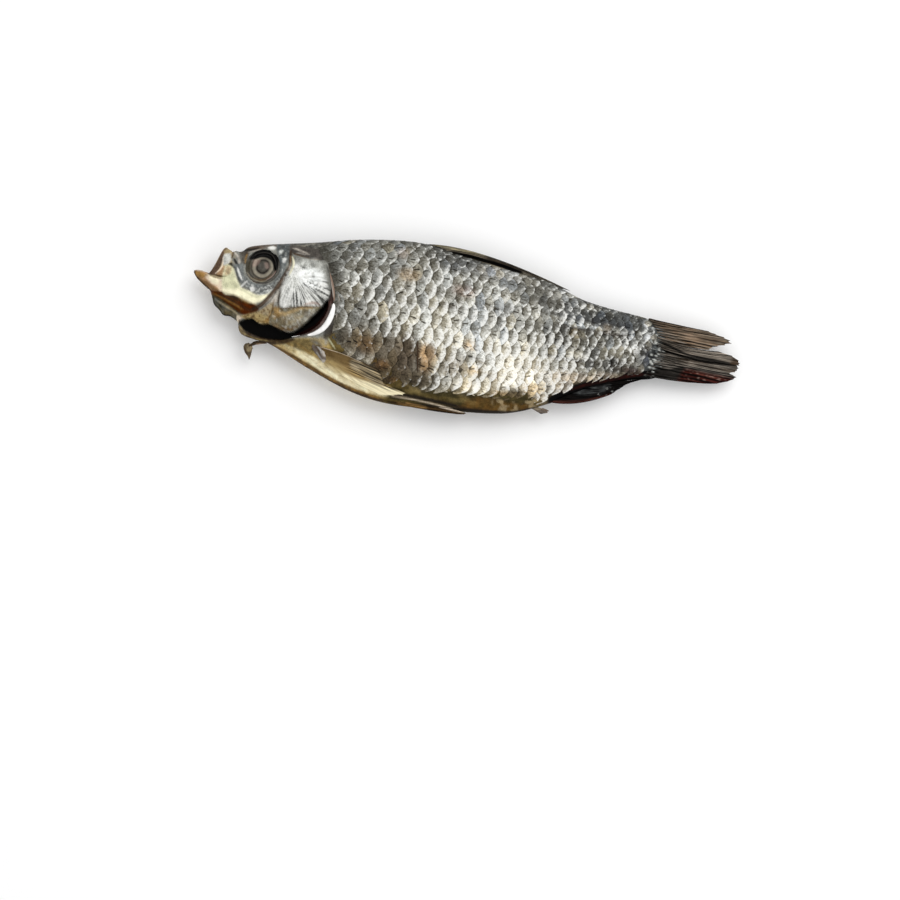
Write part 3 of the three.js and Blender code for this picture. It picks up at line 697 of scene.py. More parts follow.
HEAD_MARKS: tuple[Mark, ...] = (
    # the skull's roof, the snout and the nape
    Patch("-106 19.6, -98 23.4, -80 28, -58 33, -57 25, -66 24, -80 22, -92 22, -100 17", ROOF, soft=2,
        strength=0.95, mottle=0.25),
    Specks("-86 25.4, -74 28.4, -60 31.6, -58 27, -66 25.4, -78 24.6", GREY, 1.4, 1.6, 0.5, 0.12, 0.1, 61),
    Patch("-100 20.4, -97 22.6, -90 24.4, -84 25.6, -84 22.6, -90 21.6, -96 19.6", LIP_BROWN, 1.2, 0.7,
        mottle=0.4),
    Patch("-86 25, -76 27.5, -66 30, -62 28, -68 25, -76 24, -84 23", WARM_DARK, soft=2.2, strength=0.4,
        mottle=0.4),
    Streaks("-86 25.4, -76 28, -62 31, -60 27, -68 24.6, -80 23.6", (-130, 0), SOOT, 120, 1.4, 0.7, -0.15,
        0.1, 65, 0.35),
    Streaks("-84 25, -76 27, -62 30.4, -60 27, -68 25, -80 24", (-130, 0), WARM_GREY, 130, 1.4, 0.6, 0.12,
        0, 66, 0.4),
    Line("-90 24, -80 26.2, -70 28.2, -60 30.6, -50 32.6", WARM_DARK, 1.4, 1.4, 0.5),
    Patch("-105.2 17.6, -102 17.6, -100.6 14, -99.6 10.6, -102.4 10.4, -104.4 12.4", GREY, height=0.1,
        mottle=0.4),
    Line("-104.4 17.6, -102.2 15.6, -101 12.4, -99.6 9.6", PINK_GREY, 1, 0.6, 0.8, 0.3),
    Line("-104 14.8, -102.8 13.2, -101.4 11.8", SOOT, 1.1, 0.6, 0.9, -0.5),
    Line("-105.2 18.4, -104.9 16.6, -105 14.6", BROWN, 0.7, 0.5, 0.85, -0.35),
    Patch("-102.4 18.4, -100.4 19.6, -98 20.4, -97.6 17, -98.4 13.4, -100 13.4, -101.4 16", DARK_BROWN,
        1.2, 0.8, mottle=0.5),
    Line("-98.6 17.6, -98.9 15.4, -98.6 13.4", OCHRE, 0.9, 0.7, 0.7),
    Line("-101 18.8, -99 19.4, -96.6 20.2, -93.6 21.4", SOOT, 1, 0.7, 0.85, -0.35),
    Line("-98.4 18.4, -96 19.4, -93 20.8", PINK_GREY, 0.5, 0.5, 0.6, 0.15),
    Patch("-87 24.6, -81 25, -80.4 18, -82.6 11, -84.4 8, -84.6 17", TEMPLE_BLUE, 1.4, mottle=0.3),
    Specks(TEMPLE_RIM, SILVER, 0.9, 1.5, 0.4, 0.05, 0.1, 23),
    Specks(TEMPLE_RIM, DARK_GREY, 0.8, 1.5, 0.6, 0, 0.2, 24),
    # painted highlights: small white and silver glints on the skull's top
    Patch("-90.2 21.9, -88.6 22.9, -86.9 22.5, -87.6 21.5, -89.2 21.4", BONE_WHITE, 1.3),
    Patch("-85 21.5, -83.7 21.6, -83.9 20.1, -84.9 20.3", SILVER, 1.2),
    Patch("-82.6 18.1, -81.3 18.3, -81.6 16.5, -82.6 16.5", BONE_WHITE, 1.3, 0.85),
    # the dark smooth wedge over the gill cover
    Patch("-81 24.4, -73 24.8, -65.4 24.2, -62.4 20.4, -70 20, -78 20.4", WARM_DARK, 0.8, height=-0.35),
    Line("-79.6 23.4, -76.6 23, -72.4 22", PINK_GREY, 0.9, 0.6, 0.8, 0.2),
    Line("-78 21.6, -75 21.6, -71.6 21.8", PINK_GREY, 0.5, 0.5, 0.6, 0.12),
    Line("-79 21.2, -75 20.3, -70 19.7, -64.6 20.1", BROWN, 0.8, 0.5, 0.9, -0.3),
    # cheek: grey plates under and behind the eye
    Patch("-103.4 11.6, -99.6 13, -98 8, -93 5.6, -87 6, -83.4 10, -83.2 16, -81 14, -81.6 9, -84 3.8, "
        "-87.6 1.4, -90.4 1.2, -95.4 3, -99.6 5.2, -101.6 8", CHEEK_GREY, 0.9, height=0.15),
    Patch("-97.4 4, -92 3.4, -87 4.2, -85.6 3.4, -88 1.6, -92.6 2.2", SILVER, 2.2, 0.35, mottle=0.5),
    Streaks(CHEEK_RIM, (-90.5, 13.3), DARK_GREY, 5, 1.6, 0.6, -0.1, 0.02, 5, 1.5),
    Streaks(CHEEK_RIM, (-90.5, 13.3), SILVER, 6, 1.6, 0.35, 0.1, 0.1, 25, 1.7),
    Streaks("-100 9, -96 5, -90 3.6, -84.4 6, -82.4 12, -84 3.4, -88 1.2, -95 2.4", (-90.5, 13.3), SOOT, 4,
        1.6, 0.45, -0.12, -0.1, 45, 2.2),
    Specks(CHEEK_RIM, BONE_WHITE, 0.6, 1.4, 0.5, 0.08, 0.3, 26),
    Line("-102.8 11, -101.6 8.2, -99.8 5", DARK_GREY, 0.6, 0.5, 0.7, -0.2),
    Line("-101.8 11.2, -100.4 8.6, -98.8 6", BONE_WHITE, 0.9, 0.6, 0.8, 0.15),
    Line("-99.2 2.6, -97.8 4.4, -96.4 6", BONE_WHITE, 0.6, 0.5, 0.9, 0.2),
    Patch("-94.6 3.4, -93.2 3.8, -92.6 2.2, -94.2 2", BONE_WHITE, 0.6, 0.8),
    Line("-91 1, -87.4 1.8, -84.4 4.4, -82.4 7.6", SILVER, 0.7, 0.6, 0.7, 0.15),
    # the cream band of the upper jaw bone and cheek
    Patch("-106.6 10.6, -105 11, -103.4 10.2, -101.6 6.6, -99 3, -95 1.8, -91 .6, -87 1.6, -85.2 2.8, "
        "-87.4 -.2, -90.6 -2.6, -93.4 -3, -97 -2, -101 -.8, -106.6 0", CREAM, 1.5, height=0.35),
    Patch("-107 11, -104 10.8, -101.6 6.6, -99.4 3, -102 1.6, -107 2.4", STRAW, 1.8, 0.9),
    Patch("-106.4 10.8, -104.4 10.8, -104.4 8, -106.6 7", LIP_TAN, 1.4, 0.6),
    Line("-100 2.4, -96 1.2, -91.4 -.2, -87.6 .8", STRAW, 1, 0.8, 0.6),
    # ridge of the cheek plate and the creases on both sides of it
    Line("-80.2 22, -79.4 18, -79 15.4, -80.2 12, -82 7.6, -85 2, -88.6 -3, -92.4 -5.6", DARK_BROWN, 2,
        0.9, 0.92, -0.5, taper=0.2),
    Line("-80.2 12.6, -82.2 7.2, -85 2, -88.4 -2.8, -90.2 -4.6", RIDGE_BROWN, 1, 0.6, 0.85, 0.5, 0.4),
    Line("-79.9 20, -79.3 17.4, -79.2 15.4, -80 12.6", LIP_TAN, 0.6, 0.5, 0.6, 0.2),
    Line("-79.6 11.5, -81.2 5, -81.7 0, -81 -3.4", DARK_BROWN, 0.8, 0.6, 0.85, -0.35),
    Patch("-82.4 4.6, -82.2 -1, -83.4 -3, -88.4 -5.2, -86 -.4", PINK_GREY, 0.8, 0.7, mottle=0.4),
    Line("-83.2 4, -84.4 .4, -87 -3.2, -89.6 -5.8", DARK_GREY, 0.5, 0.5, 0.7, -0.2),
    # the plate below the ridge, stained where it meets the lower cover
    Patch("-84 -2, -83.4 -10.6, -89 -11, -97 -9.8, -94.4 -8.2, -89 -5.6", OLIVE_TAN, 0.9, height=0.2,
        mottle=0.2),
    Patch("-95 -8.6, -90 -7, -85 -8, -84 -10.6, -89 -11, -96 -10", GOLD, 1.6, 0.7, mottle=0.4),
    Patch("-85.4 -2.4, -83.6 -1.6, -83.6 -6, -86 -7, -88.4 -6.2", TAN, 1.2, 0.6),
    Specks("-84 -2, -83.4 -10.6, -89 -11, -96 -10, -94.4 -8.2, -89 -5.6", BROWN, 0.8, 1, 0.7, -0.08, 0.2,
        63),
    Line("-96 -9.2, -92 -8.6, -89 -10, -85 -10.4", BROWN, 0.7, 0.7, 0.8, mottle=0.4),
    Line("-82.4 -3, -83.6 -6, -84.4 -8.6, -86.6 -10.2", OCHRE, 1.4, 1.6, 0.85),
    Line("-82.8 -4, -84 -7, -85.4 -9.6", BROWN, 0.6, 0.6, 0.8, -0.2),
    Line("-83.6 0, -83.7 -4.6, -83.4 -9.4", BROWN, 0.6, 0.5, 0.75, -0.2),
    # gill cover
    Patch(GILL_COVER, GREY, 0.7, height=0.9),
    Patch("-79.6 12, -77 18.4, -66 19, -62.6 8, -61.4 2, -66 .4, -72 -.4, -76 2, -80 4", SILVER, 3, 0.75,
        mottle=0.35),
    Patch("-77.4 16, -74 15.4, -73 12, -77.4 10.6", BONE_WHITE, 2.2, 0.9, mottle=0.5),
    # the brightest spot of the silver cover: its pale bone with a painted highlight
    Patch("-75 13, -69 15.6, -63.6 13, -64.4 8, -71.6 7", PEARL_HIGHLIGHT, 3.4),
    Patch("-66 9, -61.4 9, -61.6 4.4, -65.4 4.6", BONE_WHITE, 1.8, 0.6, mottle=0.4),
    Patch("-80.8 7, -78 8, -77 2, -77.4 -1.6, -80.4 -2.6", BONE_WHITE, 1.8, 0.85, mottle=0.35),
    Patch("-76 5, -71 5, -68 .4, -76.6 -1", BONE_WHITE, 1.8, 0.7, mottle=0.5),
    Streaks(GILL_COVER, FLAP_HUB, GREY, 40, 1.2, 0.5, -0.05, 0.05, 19, 0.3),
    Streaks("-76 6, -71 9.6, -61 11, -60.2 5, -62.6 .6, -70 -.4, -75 -1.4", FLAP_HUB, DARK_GREY, 38, 1.6,
        0.95, -0.14, 0.08, 9, 0.2),
    Streaks("-80 6, -76.6 6.6, -74 1, -76 -2, -80.4 -2.8", (-76.5, 16), COOL_GREY, 42, 1.4, 0.7, -0.1, 0.1,
        29, 0.2),
    Streaks("-80 12, -72 15.4, -63.6 13, -60.6 7, -62.4 1, -70 -.6, -80 -2.6", FLAP_HUB, BONE_WHITE, 36,
        2.6, 0.65, 0.06, 0.12, 12, 0.24),
    Specks("-78 19.6, -64.6 19.6, -61.8 14, -66 13.6, -73 15.4, -78 13", GREY, 0.7, 1.6, 0.3, -0.05, 0.1,
        14),
    Patch("-68.8 12.8, -67.8 12.9, -67.8 12, -68.8 12", DARK_GREY, 0.8, 0.6),
    Line("-75 16.4, -72.6 15.4, -70.4 15.4", DARK_GREY, 0.5, 0.5, 0.7, -0.1),
    Line("-79.2 19.8, -78.2 18, -77.8 15.4, -78.9 11", CREAM, 1, 0.6, 0.8, 0.15),
    Line("-61.4 13.6, -59.9 9, -60 5, -61.2 2, -63 -.4", SOOT, 0.5, 0.5, 0.8),
    Line("-63.8 18.6, -62.2 15.6, -60.8 12", DARK_GREY, 0.7, 0.6, 0.7),
    # lower cover
    Patch(LOWER_COVER, OLIVE_GREY, 0.8, height=0.8, mottle=0.15),
    Patch("-79 -6.4, -73 -4.6, -66 -2.4, -65 -4.4, -70 -9, -76 -10", SILVER, 1.6, 0.35, mottle=0.7),
    Patch("-80 -6, -76 -5.4, -70 -5, -73 -9, -78 -9.4", OLIVE_TAN, 2, 0.6, mottle=0.4),
    Patch("-83 -3.8, -80.4 -3.2, -79.6 -6.4, -82.4 -8.4", OCHRE, 2, 0.75, mottle=0.4),
    Patch("-84 -9.4, -79 -10.6, -74.4 -10.4, -70.4 -8.4, -70 -9.8, -74.5 -12.6, -80 -12.6", BROWN, 1.2,
        0.6, mottle=0.4),
    Streaks(LOWER_COVER, (-84, 4), BROWN, 30, 1.6, 0.3, -0.05, 0.16, 21),
    Specks(LOWER_COVER, SILVER, 0.9, 1.6, 0.35, 0.04, 0.1, 31),
    Line("-82 -4.8, -78 -5.4, -74.6 -3.6, -71.4 -2, -67 -1", (0.5, 0.36, 0.19), 1.1, 2, 0.8),
    Line("-80 -3.6, -76 -2.6, -71 -1.4, -66 -.6, -63 0", BROWN, 0.6, 0.5, 0.7, -0.2),
    Line("-70.4 -.2, -66.4 1.2, -63.4 .9", DULL_PINK, 1.2, 0.8, 0.6),
    Line("-82.6 -11.2, -79 -12.1, -75 -11.6, -71 -9.4", BROWN, 0.7, 0.6, 0.7),
    # gape of the gills, and the throat's rim under it
    Patch("-98.8 -12, -98.2 -16.4, -92 -18.6, -84 -19.4, -76 -18, -72 -15.2, -80 -16.4, -90 -16, -96 -14",
        DARK_BROWN, 0.9, mottle=0.15),
    Patch("-98 -13.6, -96.4 -13.4, -93.6 -16.4, -95 -17.4, -97.6 -16", OLIVE_TAN, 0.9, 0.7, mottle=0.5),
    Line("-96.4 -15.6, -92 -17.3, -88 -17.9, -82 -17.9", GOLD, 0.6, 0.6, 0.6, mottle=0.5),
    # the slit's deep recess painted black: painted shade
    Patch(GILL_SLIT, BLACK, 0.5),
    Line("-59.2 4.6, -59.7 0, -61 -4.4, -63.6 -8.6, -67.6 -11.6, -73 -14.2", DARK_RED, 2.6, 0.8, 0.95),
    Line("-59.2 4.6, -59.3 0, -60.4 -4.4, -62.4 -7.8, -65.6 -10.6", OLD_ROSE, 0.8, 0.7, 0.9),
)

SHOULDER_MARKS: tuple[Mark, ...] = (
    Patch("-66 25, -62 25, -57 15, -54.6 6, -54.4 -4, -57 -12, -60 -12, -58.6 -2, -58.4 6, -61.4 14",
        SHADOW_BROWN, 1.2, 0.95, mottle=0.1),
    Patch("-61.6 8, -59.8 10, -57.8 6, -57.6 2.6, -59.4 2, -61.2 3", DARK_RED, 1, 0.85),
    Line("-66.6 24.4, -62.6 19.6, -60 14.4, -57.4 8.6", SOOT, 1.1, 0.8, 0.8, -0.4),
    Line("-62.4 18, -60.6 14, -58.8 9.6, -57.8 5", BROWN, 1.8, 0.8, 0.8, -0.3),
    Line("-55.4 8, -54.7 2, -54.9 -5, -57 -11", DARK_BROWN, 0.8, 0.7, 0.8, -0.3),
    Line("-57.2 8, -55.6 4, -55.5 -1, -56 -6", PINK_GREY, 0.6, 0.5, 0.6, 0.2),
    Line("-62.6 12, -60.8 8, -60 4.6", SOOT, 0.9, 0.6, 0.9, -0.4),
)

THROAT_MARKS: tuple[Mark, ...] = (
    Patch("-86 -18.4, -78 -16.6, -71 -14.8, -62 -13, -56 -10.6, -52 -13, -44 -17, -34 -22, -22 -29, "
        "-22 -38, -46 -36, -66 -29, -86 -22", GOLD, 1.4),
    Patch("-58 -10.6, -53 -10.4, -44 -13, -32 -19, -21 -26, -22 -30, -30 -28, -42 -22, -55 -17.4", OLIVE,
        1.8, 0.95, mottle=0.15),
    Patch("-46 -14, -42 -12, -36 -16, -32 -20, -38 -20.6, -44 -17.6", BROWN, 1.6, 0.7, mottle=0.6),
    Patch("-78 -16.6, -70 -15, -62 -14.6, -60 -18, -68 -20.4, -78 -18.6", OLIVE_BROWN, 1.6, 0.85,
        mottle=0.35),
    Patch("-65 -13.4, -59.4 -12, -57 -14.6, -60 -16.6, -65 -15.4", COOL_GREY, 1.2, 0.7, mottle=0.6),
    # a cream band along the throat: partly its pale colour, partly a painted highlight of its sheen
    Patch("-84 -18.8, -78 -18.2, -72 -19.2, -63 -21.6, -58.6 -24.4, -50 -28.4, -40 -32, -50 -30.6, "
        "-60 -26.8, -72 -22, -80 -19.6", CREAM, 1.6, 0.75, mottle=0.3),
    Patch("-64 -21.6, -52 -25, -40 -28.6, -28 -31, -24 -32.6, -36 -33.2, -50 -30.4, -62 -25.6", CREAM, 1.6,
        0.9, mottle=0.3),
    Patch("-86 -18.4, -76 -18.4, -70 -20.4, -74 -21, -82 -19.4", GOLD, 1.6, 0.7),
    Streaks("-84 -18, -60 -17, -30 -24, -30 -37, -66 -28", (-104, -4), OCHRE, 60, 1.6, 0.3, -0.05, 0.16,
        33),
    Line("-84 -18.9, -74 -22, -65 -25.6, -55 -29.5, -45 -32.6, -34 -34.4", OCHRE, 1.8, 1.6, 0.75,
        taper=0.3),
    Line("-84 -19.4, -74 -22.8, -65 -26.4, -55 -30.2, -45 -33.2, -34 -35.2, -24 -35.8, -12 -35.4, 0 -35",
        DARK_BROWN, 2.6, 1.4, 0.97, taper=0.1),
    Line("-80 -20.4, -68 -24.8, -56 -29.2, -45 -32.4, -32 -34.6", OCHRE, 0.9, 0.8, 0.8, mottle=0.6,
        taper=0.2),
    Line("-59 -11.4, -56.4 -14.2, -54 -16.8", STRAW, 0.6, 0.5, 0.8, 0.2),
    # the olive stripe of bare belly behind the fins
    Patch("-24 -28.4, -14 -28.8, -4 -27.2, 6 -27.2, 13 -25, 19 -23, 26 -21.4, 33 -22, 38 -25, 30 -31, "
        "10 -34.6, -10 -36, -30 -37.5", OLIVE, 2.4, 0.97, mottle=0.1),
    Streaks(BELLY_RIM, (0, 340), GOLD, 60, 1.4, 0.35, 0.08, 0, 35, 0.7),
    Streaks(BELLY_RIM, (0, 340), DARK_OLIVE, 50, 1.4, 0.85, -0.1, 0.1, 36, 0.9),
    Patch("8 -27.8, 18 -26.6, 28 -26.6, 34 -26.6, 28 -31, 16 -32.8, 4 -32.8", AMBER, 2.2, 0.8,
        mottle=0.45),
    Patch("15 -25.8, 21 -22.8, 28 -20.6, 33 -21.4, 35 -24, 30 -26.6, 22 -27", DARK_OLIVE, 1.6, 0.9,
        mottle=0.3),
    Specks("17 -26.6, 26 -26.6, 34 -23.6, 37 -25.6, 29 -31, 19 -31", HONEY, 1.6, 1.8, 0.7, 0.3, -0.15, 43),
    Patch("-24 -28.8, -14 -29, -4 -28, 4 -30, 0 -33, -24 -33", DARK_OLIVE, 2.4, 0.55, mottle=0.4),
    Line("-28 -32.4, -16 -31.4, -4 -31.8, 8 -32.8, 22 -31.4", DARK_BROWN, 1.4, 1, 0.8, mottle=0.3),
    Line("-28 -35.6, -10 -34.2, 10 -33.2, 26 -31, 36 -27", SOOT, 1.6, 1, 0.9),
    Line("-24 -31.2, -12 -31.6, 2 -32.4", SOOT, 1.4, 1, 0.85, -0.3, taper=0.2),
    Line("-27 -32.6, -19 -32.6, -10 -33, 0 -33.8", CREAM_PINK, 0.5, 0.7, 0.75, 0.2, taper=0.2),
)

TRUNK_MARKS: tuple[Mark, ...] = (
    Line("-19.2 -7.6, -18.4 -14, -17 -21", SOOT, 1.3, 0.8, 0.8, -0.3, taper=0.2),
    Specks("40 -21, 48 -15.5, 56 -11.5, 66 -7.5, 76 -3, 78 -6.4, 66 -11, 54 -16, 44 -23", DARK_BROWN, 1.5,
        1.6, 0.8, 0, 0, 41),
    # painted shade along the crease under the dorsal fin
    Line("-6 25, 2 25.2, 12 24.8, 22 24.4", DARK_GREY, 0.9, 0.8, 0.4, -0.35),
    Line("38 9.8, 52 9.4, 72 9.6", SHADOW_BROWN, 1.1, 0.8, 0.85, -0.35, taper=0.2),
    Line("36 -4.8, 46 -4.5, 57 -3.6", SHADOW_BROWN, 1.1, 0.8, 0.85, -0.35, taper=0.2),
    Line("2.6 -9.8, 5 -10.8, 7.4 -11.6", DARK_OLIVE, 1.4, 0.8, 0.95, -0.2),
    Line("6 -11, 9 -12.4, 12 -12.2", OLIVE_BROWN, 1.6, 1, 0.8, -0.1, mottle=0.4),
)

EDGE_MARKS: tuple[Mark, ...] = (
    Patch("74 20, 78 14, 79 6, 76 -3, 94 -8, 94 20", SLATE, 2, 0.95, mottle=0.6),
    Specks(TAIL_ROOT_RIM, BLACK, 0.9, 1.5, 0.8, -0.1, 0.05, 38),
    Specks(TAIL_ROOT_RIM, SILVER, 0.9, 1.5, 0.8, 0.15, 0.2, 37),
    Patch("40 -23, 48 -16.4, 54 -12.8, 62 -9.4, 68 -6.8, 76 -4.2, 84 -2.4, 94 -1.4, 94 -9, 76 -13, 60 -21, "
        "48 -27", BLACK, 1.5),
    Line("46 -18.8, 56 -13.8, 66 -9.8, 76 -6.2, 84 -4.8", DARK_RED, 1.4, 0.9, 0.8, mottle=0.6),
    Specks("76 -3.4, 90 -2.6, 92 -5.4, 76 -6.6", SILVER, 1.1, 0.8, 0.7, 0, 0.4, 67),
    Line("30 28.4, 48 23, 60 21, 78 19.2, 92 15", OLIVE_BROWN, 1.4, 0.9, 0.8, taper=0.1),
)


def pool(x: Array, y: Array, place: Sequence[float], full: float = 0.35) -> Array:
    """A soft oval: 1 within the share full of its radii, 0 beyond POOL_END of them.

    Args:
        x, y: Places along and across the fish.
        place: The oval's centre x and y, its radius along and its radius across the fish.
        full: Where the fall starts.

    Returns:
        The mask.
    """
    cx, cy, along, across = place
    return 1 - ramp(full, POOL_END, np.hypot((x - cx) / along, (y - cy) / across))


def ladder_colour(rungs: str, place: Array) -> Array:
    """Colours at places on a ladder, whose rungs are a place and its red, green and blue."""
    steps = numbers(rungs)
    return np.stack([np.interp(place, steps[:, 0], steps[:, k]) for k in (1, 2, 3)], -1)


def balance(x: Array, y: Array) -> Array:
    """How much lighter or darker the skin is in some broad places: pools of gain, multiplied."""
    # each pool's place and its gain
    pools = numbers("""
        -31 15 9 8 .88, -4 16 7 4.5 .84, 11 5 7 4 .7, 28 7 7 4 .78, -52 8 6 9 1.3, -39 6 7 4 1.25
        -45 -2 5 4 .82, -42 12 7 5 .86, -52 -6 4 5 1.2, -21 23 5 4 .86, -7 24.5 8 4 1.35, 20 24 7 3.4 .74
        56 18 11 3.4 1.6, 52 9 10 3 1.15, 12 1 6 4 1.12, -12 -5 6 4 1.12, -13 -12 6 5 1.25, 60 -5 8 4 .78
        44 -18 5 3.4 1.25, 20 -24.5 5 2.4 1.5, 1 -5 12 9 .86, 46 8 9 7 .8, 34 12 9 3 1.2, 12 19 7 4 1.32
        17 12 9 4 .85, 38 7.6 12 5 .8, -14 -4 9 6 1.16, -36 -6 7 5 .75, 44 1 7 4 .78, 30 -5 8 5 1.15
        20 0 8 4 1.15, 8 -9 10 5 .84, 36 -9 7 5 1.2, -8 -19 9 4 .76, 21 -18 7 4 1.25, 37 -19 6 4 .72
        11 -24 8 3 1.5, 68 12 9 4 .7, 72 0 10 4 .72, -15 -24.5 8 4 .5
    """)
    gain = np.ones(np.shape(x))
    for *place, value in pools:
        gain *= 1 + (value - 1) * pool(x, y, place)
    return gain


# heights in the section, from the belly edge to the back edge, and their red, green and blue
FLANK_LADDER = """
    -1 .1 .06 .02, -.92 .22 .165 .08, -.8 .44 .39 .285, -.6 .44 .415 .345, -.3 .42 .405 .345, 0 .36 .348 .3
    .3 .29 .282 .245, .55 .25 .245 .215, .8 .215 .212 .188, .92 .145 .145 .132, 1 .075 .075 .067
"""


def flank_tone(x: Array, y: Array) -> Array:
    """The fish's own colouring: dark over the back and the tail's stem, silver on the flank.

    A ladder of colours by height in the section, dimmed towards the tail, then broad soft pools laid
    over it in order.

    Args:
        x, y: Places along and across the fish.

    Returns:
        Linear colours, with red, green and blue in the last axis.
    """
    tone = ladder_colour(FLANK_LADDER, BODY_FORM.height(x, y))
    tone *= (1 - 0.55 * ramp(12.0, 62.0, x))[..., None]
    # each pool's place, its red, green and blue, and its strength; the pale pools at 74 4.6, 79.4 10.8,
    # 77.4 16.4, 67.4 10.6 and 72 9.4 are painted glints
    pools = numbers("""
        -48 26 18 9 .19 .19 .17 .8, -50 3 17 17 .145 .142 .125 .85, -64 18 9 14 .085 .083 .07 .9
        -38 2 9 7 .25 .243 .215 .5, -44 -12 15 8 .085 .066 .04 .95, -29 -13 13 9 .125 .102 .07 .95
        -30 -23 12 7 .068 .048 .022 .95, -19 -26 7 4 .13 .105 .065 .8, -6 29 16 5 .085 .086 .082 .9
        30 21 17 4.6 .09 .09 .082 .9, 12 27 14 4 .26 .255 .235 .8, 14 11 8 4 .19 .185 .165 .6
        -12 2 12 7 .52 .505 .44 .6, -31 11 9 6 .24 .23 .2 .5, 38 6 15 5 .15 .142 .12 .75
        39 22.6 8 3 .25 .245 .22 .7, 4 -4 24 7 .58 .56 .49 .75, 40 17 12 4 .075 .074 .068 .85
        60 16 18 3.6 .028 .03 .029 .97, 66 9 12 4 .1 .1 .09 .7, 48 5.5 16 5 .115 .108 .085 .8
        31 6 8 6 .22 .215 .185 .6, 50 13.8 20 1.6 .045 .047 .046 .8, 53 11 14 1.5 .36 .37 .35 .6
        54 7.8 18 1.4 .06 .057 .045 .75, 47 -2 9 1.6 .55 .53 .46 .8, 46 -5 12 1.2 .14 .13 .105 .6
        62 -5 10 3.5 .09 .086 .072 .9, 70 -4 8 4 .05 .045 .038 .8, 64 -9 6 2.2 .3 .25 .2 .7
        75 -5 6 2 .05 .035 .03 .9, 58 0 8 3 .1 .1 .088 .7, 82 3 7 9 .045 .047 .052 .95
        74 16 9 4 .11 .112 .105 .7, 46 -15 14 5 .38 .32 .24 .85, 24 -14 18 9 .72 .68 .58 .9
        8 -23 10 4 .68 .63 .51 .85, -3 -15 8 7 .27 .24 .19 .85, 54 -11.6 14 2.6 .4 .35 .29 .8
        22 -24.6 8 2.6 .16 .1 .04 .9, 28 -22.6 7 2.4 .05 .038 .02 .97, 33 -20 6 3 .52 .42 .28 .7
        37 -24 4 3 .58 .5 .38 .8, -28 20 6 3.4 .27 .205 .13 .8, -32 29 3 3 .34 .28 .22 .6
        -23 -15 6 11 .085 .064 .042 .95, -16 -23 8 4 .13 .1 .06 .85, -14.6 -12.4 5 5.4 .25 .16 .08 .95
        -14.6 -18 4 3.4 .17 .1 .04 .9, 3 -5.6 3 2.4 .62 .45 .26 .85, -3 17 6 3 .31 .24 .205 .7
        -8 9.6 6 1.4 .1 .085 .065 .8, 7 -16.5 4 2.4 .46 .34 .2 .6, 15 -17 3 2 .46 .34 .2 .5
        60.5 11.4 2.6 2.4 .16 .12 .075 .7, 48 7 5 2.4 .19 .16 .105 .7, -41 -13 5 4.5 .1 .06 .026 .75
        -33.5 -20 4 2.6 .16 .085 .03 .8, -27 -26.5 3.4 2.2 .16 .09 .03 .8, 74 4.6 2.4 2.4 .6 .6 .58 .9
        79.4 10.8 2.2 1.6 .42 .42 .41 .85, 77.4 16.4 2 1.6 .34 .34 .33 .8, 67.4 10.6 2.6 1.2 .45 .45 .43 .8
        72 9.4 2 1.8 .36 .36 .34 .7, 65 3.8 3.6 3 .27 .27 .24 .6, 65.4 -2 2.6 2.4 .03 .03 .028 .9
        68 14 4 1.6 .04 .042 .042 .8
    """)
    for *place, red, green, blue, strength in pools:
        tone += (np.array([red, green, blue]) - tone) * (strength * pool(x, y, place))[..., None]
    return tone * balance(x, y)[..., None]


def flank_shine(x: Array, y: Array) -> Array:
    """How large and bright the scales' pale patches are, which are partly painted highlight: little over
    the back and behind the fin.

    Args:
        x, y: Places along and across the fish.

    Returns:
        Values from 0 to 1.
    """
    heights, shines = numbers("-.9 .85, -.2 .92, .2 .85, .5 .68, .8 .5, 1 .3").T
    shine = np.interp(BODY_FORM.height(x, y), heights, shines)
    # each pool's place, its shine and its strength; the last four, from x 67 to 80, are painted glints
    pools = numbers("""
        -44 28 22 12 .2 .9, -47 12 8 6 .8 .7, -50 -4 13 15 .26 .92, -32 -17 19 11 .03 .98, -32 2 9 8 .6 .6
        -2 29 16 5 .3 .85, 32 20 18 5 .28 .88, 30 11 10 5 .5 .7, 64 16 20 4 .08 .95, 60 5 18 9 .36 .9
        64 -6 12 5 .22 .9, 56 -12 18 4 .2 .9, 84 4 8 12 .05 .98, -65 14 10 18 0 .98, -15 -14 6.5 8 .03 .97
        -28 20 6 4 .15 .9, -22 -16 6 11 .05 .95, -3 -16 8 7 .55 .8, 24 -25 11 4.5 .05 .97, 39 22.6 8 3 .4 .8
        -30 -24 17 5 0 .98, -51 -13 8 4 0 .95, 77 -5 9 3 0 .95, 30 -24 6 3 0 .95, 73 5 5 5 .7 .8
        79.4 10.8 2.4 2 .6 .9, 77.4 16.4 2.4 2 .5 .9, 67.4 10.6 4 2 .7 .8
    """)
    for *place, value, strength in pools:
        shine += (value - shine) * strength * pool(x, y, place, 0.4)
    return shine * balance(x, y)


# ---- node groups and finishes


Socket = bpy.types.NodeSocket
Value = Socket | Sequence[float] | float  # what an input takes
SOCKET_KINDS = {1: "NodeSocketFloat", 3: "NodeSocketVector", 4: "NodeSocketColor"}  # by a value's length


